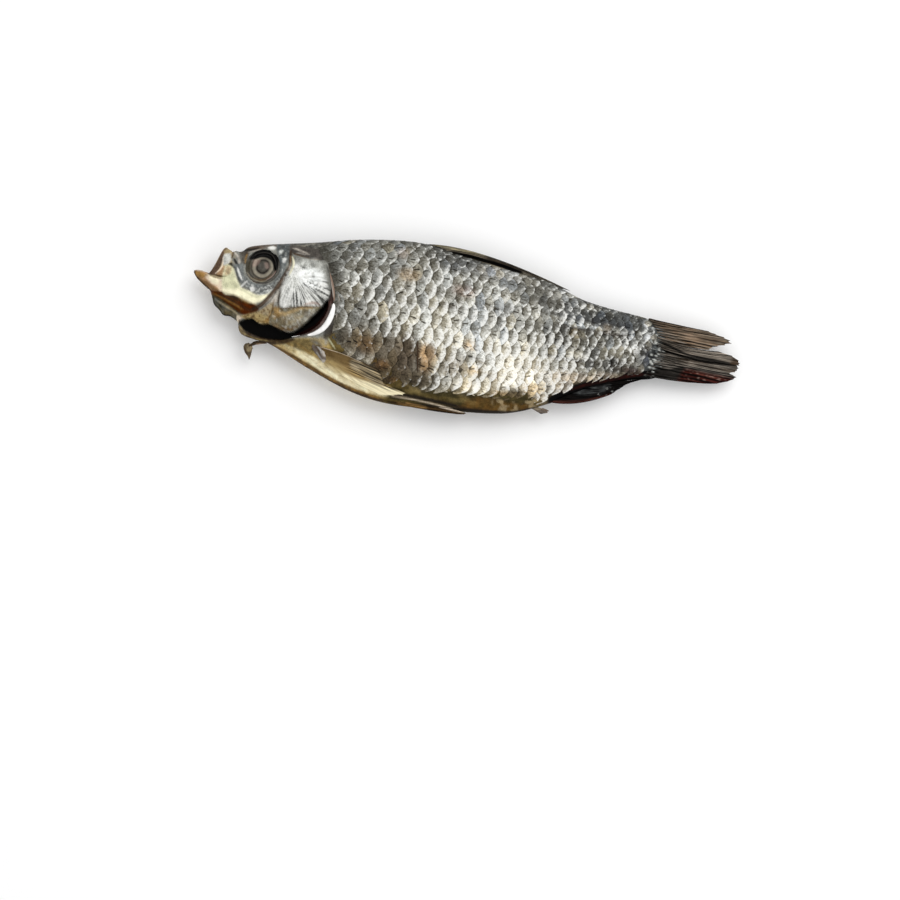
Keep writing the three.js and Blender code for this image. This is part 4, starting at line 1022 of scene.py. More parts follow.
class Nodes:
    """A small writer of node trees: each call adds one node and links its inputs."""

    def __init__(self, tree: bpy.types.NodeTree) -> None:
        """Takes over a tree and empties it."""
        self.tree = tree
        tree.nodes.clear()

    def add(self, kind: str, values: dict | None = None, **options: object) -> bpy.types.Node:
        """Adds a node.

        Args:
            kind: The node's type.
            values: Input name or number to a value, or to an output socket that is linked to it.
            **options: Properties of the node.

        Returns:
            The node.
        """
        node = self.tree.nodes.new(kind)
        for key, option in options.items():
            setattr(node, key, option)
        self.fill(node, values or {})
        return node

    def fill(self, node: bpy.types.Node, values: dict) -> None:
        """Sets a node's inputs to values, or links them to the output sockets among these."""
        for key, value in values.items():
            if isinstance(value, bpy.types.NodeSocket):
                self.tree.links.new(value, node.inputs[key])
            else:
                node.inputs[key].default_value = value

    def math(self, kind: str, a: Value, b: Value = 0.0, c: Value = 0.0, clamp: bool = False) -> Socket:
        """Output of a Math node."""
        values = {0: a, 1: b, 2: c}
        return self.add("ShaderNodeMath", values, operation=kind, use_clamp=clamp).outputs[0]

    def times(self, a: Value, b: Value) -> Socket:
        """a times b."""
        return self.math("MULTIPLY", a, b)

    def plus(self, a: Value, b: Value) -> Socket:
        """a plus b."""
        return self.math("ADD", a, b)

    def minus(self, a: Value, b: Value) -> Socket:
        """a minus b."""
        return self.math("SUBTRACT", a, b)

    def vector(self, x: Value, y: Value) -> Socket:
        """A vector of x and y."""
        return self.add("ShaderNodeCombineXYZ", {0: x, 1: y}).outputs[0]

    def colour(self, red: Value, green: Value, blue: Value) -> Socket:
        """A colour of three numbers."""
        return self.add("ShaderNodeCombineColor", {0: red, 1: green, 2: blue}).outputs[0]

    def span(self, value: Value, low: float, high: float, start: float = 0.0, end: float = 1.0) -> Socket:
        """Output of a smooth Map Range node."""
        values = {"Value": value, "From Min": low, "From Max": high, "To Min": start, "To Max": end}
        return self.add("ShaderNodeMapRange", values, interpolation_type="SMOOTHSTEP").outputs[0]

    def mix(self, factor: Value, a: Value, b: Value, blend: str = "MIX") -> Socket:
        """Colour output of a Mix node."""
        values = {0: factor, 6: a, 7: b}
        return self.add("ShaderNodeMix", values, data_type="RGBA", blend_type=blend).outputs[2]

    def noise(self, vector: Socket, scale: float, detail: float = 3.0, rough: float = 0.55) -> Socket:
        """Factor output of a Noise Texture node."""
        values = {"Vector": vector, "Scale": scale, "Detail": detail, "Roughness": rough}
        return self.add("ShaderNodeTexNoise", values).outputs["Fac"]


def new_group(name: str, inputs: dict[str, object], outputs: Sequence[str]) -> tuple:
    """Starts a shader node group.

    Args:
        name: The group's name.
        inputs: Input name to its default, whose length tells the socket's type.
        outputs: Output names, of which Color is a colour and the others are numbers.

    Returns:
        The group, its node writer, its input node's sockets and its output node.
    """
    group = bpy.data.node_groups.new(name, "ShaderNodeTree")
    nodes = Nodes(group)
    for key, default in inputs.items():
        socket = group.interface.new_socket(key, in_out="INPUT", socket_type=SOCKET_KINDS[np.size(default)])
        socket.default_value = default
    for key in outputs:
        kind = SOCKET_KINDS[4 if key == "Color" else 1]
        group.interface.new_socket(key, in_out="OUTPUT", socket_type=kind)
    return group, nodes, nodes.add("NodeGroupInput").outputs, nodes.add("NodeGroupOutput")


def dried_grain() -> bpy.types.NodeTree:
    """Group that mottles a colour as dried skin is, and gives the height of its fine wrinkles."""
    group, nodes, given, result = new_group(
        "DriedGrain",
        {"Color": (0.5, 0.5, 0.5, 1), "Vector": (0, 0, 0), "Mottle": 0.3, "Fine": 1.0},
        ("Color", "Height"),
    )
    coarse = nodes.noise(given["Vector"], 420, 4)
    fine = nodes.noise(given["Vector"], 2100, 3, 0.6)
    both = nodes.plus(nodes.times(coarse, 0.55), nodes.times(fine, 0.45))
    swing = nodes.span(both, 0.36, 0.64, -1.0, 1.0)
    light = nodes.add("ShaderNodeRGBToBW", {0: given["Color"]}).outputs[0]
    share = nodes.times(given["Mottle"], nodes.span(light, 0.3, 0.8, 1.0, 0.3))
    gain = nodes.plus(nodes.times(swing, share), 1.0)
    grey = nodes.colour(gain, gain, gain)
    tinted = nodes.mix(1.0, given["Color"], grey, "MULTIPLY")
    height = nodes.times(both, given["Fine"])
    nodes.fill(result, {"Color": tinted, "Height": height})
    return group


def scale_pattern() -> bpy.types.NodeTree:
    """Group that draws one scale over its map: u is the distance in from the rim in mm, v the angle.

    Each scale's angles are centred on its number times SCALE_STEP, so v tells the scales apart too.
    Bare is the distance from the rims that lie over the scale; a painted shadow darkens it near them.
    """
    group, nodes, given, result = new_group(
        "ScalePattern",
        {"Color": (0.5, 0.5, 0.5, 1), "Shine": 0.5, "Vector": (0, 0, 0), "Map": (0, 0, 0), "Bare": 3.0,
         "Grain": 0.5},
        ("Color", "Height", "Gloss"),
    )
    parts = nodes.add("ShaderNodeSeparateXYZ", {0: given["Map"]}).outputs
    angle = nodes.math("WRAP", parts[1], SCALE_STEP / 2, -SCALE_STEP / 2)
    number = nodes.math("ROUND", nodes.math("DIVIDE", nodes.minus(parts[1], angle), SCALE_STEP))
    luck = nodes.add("ShaderNodeTexWhiteNoise", {"W": number}, noise_dimensions="1D").outputs["Color"]
    luck = nodes.add("ShaderNodeSeparateColor", {0: luck}).outputs
    tilt = nodes.times(nodes.minus(luck[0], 0.5), 0.9)
    wander = nodes.minus(nodes.noise(given["Vector"], 620, 3), 0.5)
    inward = nodes.plus(parts[0], nodes.times(wander, 1.2))
    blotch = nodes.noise(given["Vector"], 1250, 4, 0.7)
    broad = nodes.noise(given["Vector"], 300, 2, 0.5)
    dust = nodes.plus(nodes.times(blotch, 0.7), nodes.times(broad, 0.3))
    dust = nodes.span(dust, 0.36, 0.62, -1.0, 1.0)
    # the pale patch, partly the scale's own pale margin and partly a painted highlight: wide at the middle
    # of the rim, gone at its ends, smaller on dull scales
    bent = nodes.plus(nodes.minus(angle, 0.22), nodes.times(wander, 2.0))
    fade = nodes.times(nodes.times(bent, bent), 1.4)
    size = nodes.plus(1.0, nodes.times(given["Shine"], 1.7))
    reach = nodes.times(nodes.minus(1.0, fade), size)
    over = nodes.minus(inward, reach)
    highlight_patch = nodes.times(nodes.span(over, -1.7, 0.8, 1.0, 0.0), nodes.span(inward, -0.15, 0.2))
    highlight_patch = nodes.times(highlight_patch, nodes.span(blotch, 0.36, 0.56, 0.5, 1.0))
    # on dull scales only a few flecks of it are left
    flecks = nodes.times(nodes.minus(nodes.noise(given["Vector"], 640, 2, 0.5), 0.5), 6.5)
    chosen = nodes.minus(nodes.times(given["Shine"], 2.1), nodes.plus(nodes.times(luck[1], 0.5), 0.35))
    highlight_patch = nodes.times(highlight_patch, nodes.math("ADD", chosen, flecks, clamp=True))
    # a thin rim, the dark dash and the finer grooves that run towards the rim, and the worn dust
    rim = nodes.times(nodes.span(inward, -0.1, 0.1), nodes.span(inward, 0.3, 0.75, 1.0, 0.0))
    aside = nodes.math("ABSOLUTE", nodes.minus(angle, tilt))
    dash = nodes.times(nodes.span(aside, 0.025, 0.065, 1.0, 0.0), nodes.span(inward, 1.2, 1.6))
    dash = nodes.times(dash, nodes.span(inward, 3.6, 4.4, 1.0, 0.0))
    dash = nodes.times(dash, nodes.span(luck[2], 0.3, 0.8))
    around = nodes.vector(nodes.times(parts[1], 7.5), nodes.times(parts[0], 0.3))
    rays = nodes.noise(around, 1.0, 1, 0.4)
    groove = nodes.times(nodes.span(rays, 0.58, 0.68), nodes.span(inward, 0.6, 1.6))
    groove = nodes.math("MAXIMUM", nodes.times(groove, 0.55), nodes.times(dash, 0.9))
    worn = nodes.times(dust, given["Grain"])
    # painted shade: the scale darkens towards its covered front, and a painted shadow falls near the rims
    # over it
    front_shade = nodes.span(inward, 1.0, 3.8, 1.22, 0.68)
    shade = nodes.span(given["Bare"], -0.1, 0.6, 0.6, 1.0)
    lit = nodes.times(nodes.times(front_shade, shade), nodes.plus(worn, 1.0))
    lit = nodes.times(lit, nodes.minus(1.0, groove))
    lit = nodes.times(lit, nodes.plus(0.78, nodes.times(luck[2], 0.44)))
    lit = nodes.plus(lit, nodes.times(rim, 0.08))
    green = nodes.times(lit, nodes.span(lit, 0.2, 1.1, 0.93, 1.0))
    blue = nodes.times(lit, nodes.span(lit, 0.2, 1.1, 0.78, 1.0))
    tinted = nodes.mix(1.0, given["Color"], nodes.colour(lit, green, blue), "MULTIPLY")
    # the pale patch's colour: the scale's pale margin with its painted highlight
    pale_highlight = nodes.mix(0.8, given["Color"], (0.93, 0.93, 0.89, 1))
    shown = nodes.mix(highlight_patch, tinted, pale_highlight)
    height = nodes.minus(nodes.times(worn, 0.3), nodes.times(groove, 0.6))
    nodes.fill(result, {"Color": shown, "Height": height, "Gloss": highlight_patch})
    return group


def fin_rays() -> bpy.types.NodeTree:
    """Group that draws a fin's rays over its map: u counts rays across, v runs along them in mm.

    Lines tells how strongly the gaps between the rays show.
    """
    group, nodes, given, result = new_group(
        "FinRays",
        {"Color": (0.5, 0.5, 0.5, 1), "Lines": 1.0, "Map": (0, 0, 0), "Gap": 0.92, "Streak": 0.45},
        ("Color", "Height"),
    )
    parts = nodes.add("ShaderNodeSeparateXYZ", {0: given["Map"]}).outputs
    sway = nodes.vector(parts[0], nodes.times(parts[1], 0.15))
    across = nodes.plus(parts[0], nodes.times(nodes.noise(sway, 1.0, 1), 0.7))
    wave = nodes.math("COSINE", nodes.times(across, 2 * math.pi))
    gap = nodes.times(nodes.span(wave, -0.7, 0.45, 1.0, 0.0), given["Lines"])
    uneven = nodes.vector(nodes.times(parts[0], 0.9), nodes.times(parts[1], 0.07))
    gap = nodes.times(gap, nodes.span(nodes.noise(uneven, 1.0, 1), 0.36, 0.58, 0.3, 1.0))
    fine = nodes.vector(nodes.times(parts[0], 2.6), nodes.times(parts[1], 0.1))
    streak = nodes.span(nodes.noise(fine, 1.0, 2), 0.38, 0.62, -1.0, 1.0)
    streak = nodes.times(streak, nodes.span(given["Lines"], 0.0, 1.0, 0.2, 1.0))
    lit = nodes.plus(1.0, nodes.times(streak, given["Streak"]))
    lit = nodes.times(lit, nodes.minus(1.0, nodes.times(gap, given["Gap"])))
    grey = nodes.colour(lit, lit, lit)
    tinted = nodes.mix(1.0, given["Color"], grey, "MULTIPLY")
    height = nodes.minus(nodes.times(streak, 0.25), nodes.times(gap, 0.6))
    nodes.fill(result, {"Color": tinted, "Height": height})
    return group


class Pattern(Enum):
    """Which shared group draws a finish."""

    GRAIN = "grain"
    SCALE = "scale"
    RAYS = "rays"


@dataclass(frozen=True)
class Finish:
    """A finish that shows a piece's painted tone through one of the shared patterns."""

    name: str
    pattern: Pattern = Pattern.GRAIN
    settings: tuple[tuple[str, float], ...] = ()
    roughness: float = 0.5
    bump: float = 0.25
    depth: float = 0.15
    metallic: float = 0.0
    specular: float = 0.06

    def material(self, groups: dict[Pattern, bpy.types.NodeTree]) -> bpy.types.Material:
        """Builds the material.

        Args:
            groups: The shared groups.

        Returns:
            The material.
        """
        made = bpy.data.materials.new(self.name)
        made.use_nodes = True
        nodes = Nodes(made.node_tree)
        tone = nodes.add("ShaderNodeAttribute", attribute_name="Tone")
        sources = {
            "Color": tone.outputs["Color"],
            "Shine": tone.outputs["Alpha"],
            "Lines": tone.outputs["Alpha"],
            "Bare": nodes.add("ShaderNodeAttribute", attribute_name="Bare").outputs["Fac"],
            "Vector": nodes.add("ShaderNodeTexCoord").outputs["Object"],
            "Map": nodes.add("ShaderNodeUVMap", uv_map="PatternMap").outputs["UV"],
        }
        group = nodes.add("ShaderNodeGroup", node_tree=groups[self.pattern])
        for key, socket in sources.items():
            if key in group.inputs:
                nodes.tree.links.new(socket, group.inputs[key])
        for key, value in self.settings:
            group.inputs[key].default_value = value
        heights = {"Strength": self.bump, "Distance": self.depth * MM, "Height": group.outputs["Height"]}
        bump = nodes.add("ShaderNodeBump", heights)
        gloss = nodes.span(group.outputs["Height"], -0.3, 0.7, self.roughness + 0.12, self.roughness - 0.1)
        shader = nodes.add(
            "ShaderNodeBsdfPrincipled",
            {
                "Base Color": group.outputs["Color"],
                "Roughness": gloss,
                "Metallic": self.metallic,
                "Specular IOR Level": self.specular,
                "Normal": bump.outputs[0],
            },
        )
        nodes.add("ShaderNodeOutputMaterial", {"Surface": shader.outputs[0]})
        return made


# ---- skin and jaws


def shaped_relief(relief: Array, room: Array) -> Array:
    """Keeps a relief from reaching through the fish near its thin edges.

    Args:
        relief: How far the skin is to be raised.
        room: Thickness of one side there.

    Returns:
        The relief, faded out at the edges, and never deeper than the flesh.
    """
    return np.maximum(relief * ramp(0.0, 2.5, room), np.minimum(0.6 - room, 0))


def side_canvas(x: Array, y: Array) -> Canvas:
    """The painted side of the fish at x, y, with its bones and folds in relief.

    Args:
        x, y: Places along and across the fish.

    Returns:
        The canvas.
    """
    sheet = Canvas.over(x, y, flank_tone(x, y) * np.array([0.40, 0.38, 0.34]))
    head = ramp(50.0, 60.0, -x) * ramp(-26, -14, y)
    sheet.tone += (np.array(GREY) - sheet.tone) * head[..., None]
    for marks in (TRUNK_MARKS, EDGE_MARKS, THROAT_MARKS, SHOULDER_MARKS, JAW_MARKS, HEAD_MARKS):
        sheet.add(marks)
    slit = within(x, y, spline(GILL_SLIT, closed=True), 0.5)
    sheet.relief -= GILL_SLIT_DEPTH * slit
    reach = np.hypot(x - EYE_CENTRE[0], y - EYE_CENTRE[1])
    sheet.relief -= EYE_SOCKET_DEPTH * (1 - ramp(EYE_SOCKET_R - 1.6, EYE_SOCKET_R + 0.4, reach))
    where = np.stack([x, y], -1)
    sheet.relief += 0.10 * (noise(where, 2.4, 5) + 0.6 * noise(where, 0.9, 6)) * (1 - slit)
    sheet.relief += 0.22 * noise(where, 9.0, 7)
    sheet.tone *= (1 + 0.10 * noise(where, 1.7, 8) + 0.08 * noise(where, 6.0, 9))[..., None]
    light = sheet.tone.mean(-1, keepdims=True)
    sheet.tone = (light + 1.15 * (sheet.tone - light)) * (0.66 + 0.34 * ramp(0.0, 0.5, light))
    return sheet


@dataclass
class Skin:
    """The skin of the head and trunk as one closed loft."""

    head_step: float = 0.34
    trunk_step: float = 0.62
    tail_step: float = 1.0
    around: int = 118
    snout_x: float = -106.2
    shoulder_x: float = -54.0
    belly_end_x: float = 36.0
    end_x: float = 87.6

    def stations(self) -> Array:
        """Places along X, closer together over the head."""
        spans = (
            (self.snout_x, self.shoulder_x, self.head_step),
            (self.shoulder_x, self.belly_end_x, self.trunk_step),
            (self.belly_end_x, self.end_x, self.tail_step),
        )
        rows = [np.linspace(a, b, round((b - a) / step), endpoint=False) for a, b, step in spans]
        return np.concatenate(rows + [[self.end_x]])

    def build(self, material: bpy.types.Material) -> bpy.types.Object:
        """Makes the skin: the body's form, with the canvas's relief added along z on each side.

        Args:
            material: The skin's finish.

        Returns:
            The piece.
        """
        x = self.stations()
        turn = np.linspace(-1, 1, 2 * self.around, endpoint=False)
        points = BODY_FORM.point(x[:, None], turn[None, :])
        flat_x, flat_y = points[..., 0].ravel(), points[..., 1].ravel()
        sheet = side_canvas(flat_x, flat_y)
        room = BODY_FORM.flank(flat_x, flat_y)
        relief = shaped_relief(sheet.relief, room).reshape(points.shape[:2])
        points[..., 2] += np.where(turn >= 0, 1, -1)[None, :] * relief
        columns = len(turn)
        front = list(range(columns))
        rear = [(len(x) - 1) * columns + i for i in range(columns)]
        faces = grid_faces(len(x), columns, wrap=True)
        form = Form(rest_on_table(points).reshape(-1, 3), faces, sheet.tone, [front, rear[::-1]])
        return make_piece("skin", form.outward(), material)


@dataclass
class Jaws:
    """Both jaws as thin shells on the body's own form, open to the front.

    The lower jaw is a trough: the form under a rim. The upper jaw is a hood: the form over the gape,
    whose front edge leans back from the corners of the mouth to the tip of the snout.
    """

    tip_x: float = -120.5
    back_x: float = -105.7
    lower_rows: int = 64
    upper_rows: int = 34
    around: int = 121
    wall: float = 0.9
    tuck: float = 0.35
    rim: Points = "-120.5 7, -119.4 7.45, -117 7.5, -115 7, -113 6.7, -109 6.4, -105 6.8"
    gape: Points = "-114 6.9, -112 6.6, -109 6.4, -105 6.7"
    hood_front: Points = "0 -108.2, .2 -109.2, .45 -110.2, .7 -111.4, .88 -112.6, 1 -113.6"

    def angle(self, x: Array, y: Array) -> Array:
        """Angle round the section at which the form passes y."""
        return np.arccos(BODY_FORM.height(x, y))

    def shell(self, x: Array, angle: Array, tuck: Array | float) -> Form:
        """A shell over a grid of places x and angles, negative angles being on the right side.

        Args:
            x: Places along the fish.
            angle: Angles round the section, in the same grid.
            tuck: How far the shell is drawn in from the form.

        Returns:
            The closed shell with its painting.
        """
        outer = BODY_FORM.point(x, angle / np.pi, 0.0, spread=0.0)
        sheet = side_canvas(outer[..., 0].ravel(), outer[..., 1].ravel())
        relief = sheet.relief.reshape(x.shape)
        room = BODY_FORM.half(x)
        wall = np.minimum(self.wall, room * 0.55)
        lifted = BODY_FORM.point(x, angle / np.pi, relief * 0.7 - tuck, spread=0.0)
        inner = BODY_FORM.point(x, angle / np.pi, relief * 0.3 - tuck - wall, spread=0.0)
        inner[..., 2] = np.where(angle >= 0, np.maximum(inner[..., 2], BODY_FORM.middle(x)),
                                 np.minimum(inner[..., 2], BODY_FORM.middle(x)))
        tone = sheet.tone.reshape(x.shape + (3,))
        return leaves(rest_on_table(lifted)[None], rest_on_table(inner)[None], tone[None])

    def lower(self) -> Form:
        """The lower jaw: all angles from the left rim round the keel to the right rim."""
        t = np.linspace(0, 1, self.lower_rows)[:, None]
        across = np.linspace(-1, 1, self.around)[None, :]
        x = self.tip_x + (self.back_x - self.tip_x) * t**1.1 + 0 * across
        top = self.angle(x, through(self.rim)(x))
        turned = np.pi - (np.pi - top) * np.abs(across)
        tuck = self.tuck * ramp(-113.6, -112.4, x) * ramp(0.9, 1.0, np.abs(across))
        return self.shell(x, np.where(across < 0, -turned, turned), tuck)

    def upper(self) -> Form:
        """The upper jaw: from the left gape over the snout to the right gape."""
        share = np.linspace(-1, 1, self.around)[None, :]
        t = np.linspace(0, 1, self.upper_rows)[:, None]
        front = through(self.hood_front)(np.abs(share))
        x = front + (self.back_x - front) * t
        angle = self.angle(x, through(self.gape)(x)) * share
        return self.shell(x, angle, -0.12)

    def build(self, material: bpy.types.Material) -> None:
        """Makes both jaws as two pieces."""
        make_piece("lower_jaw", self.lower(), material)
        make_piece("upper_jaw", self.upper(), material)


# ---- scales


@dataclass
class Scales:
    """The scales of one side: thin closed leaves, staggered row by row, each over the one behind it."""

    side: Side
    rows: int = 15
    pitch: float = 5.2
    shrink: float = 0.0125
    start_x: float = -71.0
    end_x: float = 84.5
    hidden: float = 1.75
    across: int = 11
    along: int = 6
    rim_lift: float = 0.30
    slope: float = 0.16
    thickness: float = 0.07
    dome: float = 0.10
    seed: int = 11
    lateral: float = 0.5
    rear_spread: float = 0.45
    spread: float = 0.05
    bare_edge: Points = (
        "-60 -11.6, -54 -16, -48 -18.8, -42 -21, -36 -23.8, -30 -26.6, -24 -28.8, -16 -29, -6 -28.6, "
        "5 -28.2, 12 -27.2, 17 -25.8, 22 -24, 27 -23, 31 -24.6, 36 -25.4, 42 -21.8, 48 -17.6, 54 -14.2, "
        "62 -10.8, 68 -8.2, 76 -5.2, 84 -3.2"
    )

    def column_x(self, count: Array) -> Array:
        """x that has count scales before it, as their pitch shrinks evenly towards the tail."""
        return self.start_x + self.pitch * (1 - np.exp(-self.shrink * count)) / self.shrink

    def row_turn(self, x: Array, row: Array) -> Array:
        """Place of a row round the section: rows spread from the lateral line towards the tail."""
        wider = 1 + self.rear_spread * ramp(15.0, 80.0, x)
        return self.lateral + (row / self.rows - self.lateral) * wider

    def skin_point(self, x: Array, turn: Array, lift: Array | float) -> Array:
        """Points of this side's skin."""
        return BODY_FORM.point(x, self.side.value * turn, lift, self.spread)

    def shoulder_x(self, y: Array) -> Array:
        """x at which the scaled skin begins, behind the shoulder's bone."""
        return -54.0 - 0.0098 * (y + 10) ** 2

    def bay(self, b: Array) -> Array:
        """How far a rim falls back from its foremost place at b across the scale, in columns."""
        return 0.65 * b * b + 0.75 * (1 - np.sqrt(1 - 0.985 * b * b))

    def places(self) -> tuple[Array, Array]:
        """Row and column of each scale that sits on scaled skin, its rear rim being at that column."""
        left = self.pitch / (self.pitch - self.shrink * (self.end_x - self.start_x))
        count = int(math.log(left) / self.shrink)
        first = 0 if self.side is Side.LEFT else 1
        across = np.arange(first, self.rows + 1 - first)
        row, column = np.meshgrid(across, np.arange(1, count + 2), indexing="ij")
        row, column = row.ravel(), (column + 0.5 * (row % 2)).ravel()
        x = self.column_x(column - 0.5)
        turn = self.row_turn(x, row)
        y = self.skin_point(x, np.clip(turn, 0, 1), 0.0)[..., 1]
        near_tail = 81.5 - 0.012 * (y - 10) ** 2
        good = y > through(self.bare_edge)(x) + 2.4 - 1.2 * ramp(10, 50, x)
        good &= (x > self.shoulder_x(y)) & (x < near_tail)
        good &= (turn > -0.03) & (turn < 1.03)
        return row[good], column[good]

    def build(self, material: bpy.types.Material) -> bpy.types.Object:
        """Makes the scales.

        A leaf's point at a, from its hidden front edge to its rim, and b, across it, lies between the
        front column c - hidden and the rim column c - bay(b), and at the row plus b. Its lift falls
        evenly from the rim to the front, with a low dome across. The scales over it have their rims
        one column ahead, and half a column ahead in the rows beside it.

        Args:
            material: The scales' finish.

        Returns:
            The piece.
        """
        rng = np.random.default_rng(self.seed + self.side.value)
        row, column = (v[:, None, None] for v in self.places())
        n = len(row)
        wild = 0.8 + 0.7 * (1 - ramp(-40.0, 0.0, self.column_x(column)))
        jitter = rng.normal(size=(9, n, 1, 1)) * wild
        a = np.linspace(0, 1, self.along)[None, :, None]
        b = np.linspace(-1, 1, self.across)[None, None, :]
        bay = self.bay(b)
        ragged = 0.03 * np.sin(b * (5 + 2 * jitter[0]) + 3 * jitter[1])
        ragged = ragged + 0.03 * np.cos(b * 9 + 4 * jitter[2])
        rim = column - bay + ragged + 0.05 * jitter[3] + 0.06 * b * jitter[4]
        front = column - self.hidden - 0.25 * b * b
        at = front + (rim - front) * a**0.85
        x = self.column_x(at)
        reach = 1.04 * (1 + 0.05 * jitter[5])
        turn = self.row_turn(x, row + 0.06 * jitter[6] + b * reach * (0.82 + 0.18 * ramp(0.0, 0.5, a)))
        behind = at - column
        edge = np.clip(1 + behind / 1.2, 0, 1)
        x = np.maximum(x, self.shoulder_x(self.skin_point(x, turn, 0.0)[..., 1]) - 2.4)
        base = self.skin_point(x, turn, 0.0)
        curl = 0.35 * ramp(8, 20, -base[..., 1]) * ramp(20, 40, base[..., 0])
        loose = (0.07 * np.abs(jitter[7]) + curl * np.abs(jitter[8])) * edge**2
        grooves = Canvas.over(base[..., 0], base[..., 1], np.zeros(3))
        grooves.add(TRUNK_MARKS)
        lift = self.rim_lift + self.slope * behind + self.dome * (1 - b * b) * edge - 0.12 + loose
        lift += grooves.relief.reshape(x.shape) + 0.25 * noise(base[..., :2], 9.0, 7)
        lift *= 1 - 0.5 * ramp(0.8, 1.0, np.abs(BODY_FORM.height(base[..., 0], base[..., 1])))
        top = rest_on_table(self.skin_point(x, turn, lift))
        under = rest_on_table(self.skin_point(x, turn, lift - self.thickness))
        angle = np.arctan2(b * reach * 5.6, (at - column + 1.9) * 4.8)
        numbers = SCALE_STEP * np.arange(n)[:, None, None]
        ahead = np.minimum(behind + 1 + bay, behind + 0.5 + self.bay(1 - np.abs(b)))
        bare = ahead * (self.column_x(column) - self.column_x(column - 1))
        chart = np.stack(np.broadcast_arrays(self.column_x(rim) - x, angle + numbers, bare), -1)
        form = leaves(top, under, self.leaf_tone(top, rng), chart)
        return make_piece(f"scales_{self.side}", form, material, crease=40)

    def leaf_tone(self, top: Array, rng: np.random.Generator) -> Array:
        """Colour and shine of each point: the fish's own, a little different on each leaf.

        Args:
            top: The leaves' upper points.
            rng: The generator of the differences.

        Returns:
            Red, green, blue and shine in the last axis.
        """
        x, y = top[..., 0], top[..., 1]
        tone = flank_tone(x.ravel(), y.ravel()).reshape(top.shape)
        patchy = 1 + 0.16 * noise(top[..., :2], 5.0, 71) + 0.10 * noise(top[..., :2], 2.0, 72)
        shape = (len(top), 1, 1)
        each = 1 + 0.13 * rng.normal(size=shape)
        warm = 1 + np.array([0.03, 0.0, -0.06]) * rng.normal(size=shape + (1,))
        tone = tone * (patchy * each)[..., None] * warm
        low = 0.9 * ramp(2.2, -1.0, y - through(self.bare_edge)(x)) * ramp(40, 30, x)
        tone += (np.array(OLIVE_BROWN) - tone) * low[..., None]
        sheet = Canvas.over(x, y, tone)
        sheet.add(TRUNK_MARKS)
        shine = flank_shine(x, y) * (1 + 0.3 * rng.normal(size=shape)) * (1 - low)
        return np.concatenate([sheet.tone.reshape(top.shape), np.clip(shine, 0, 1)[..., None]], -1)


# ---- eyes


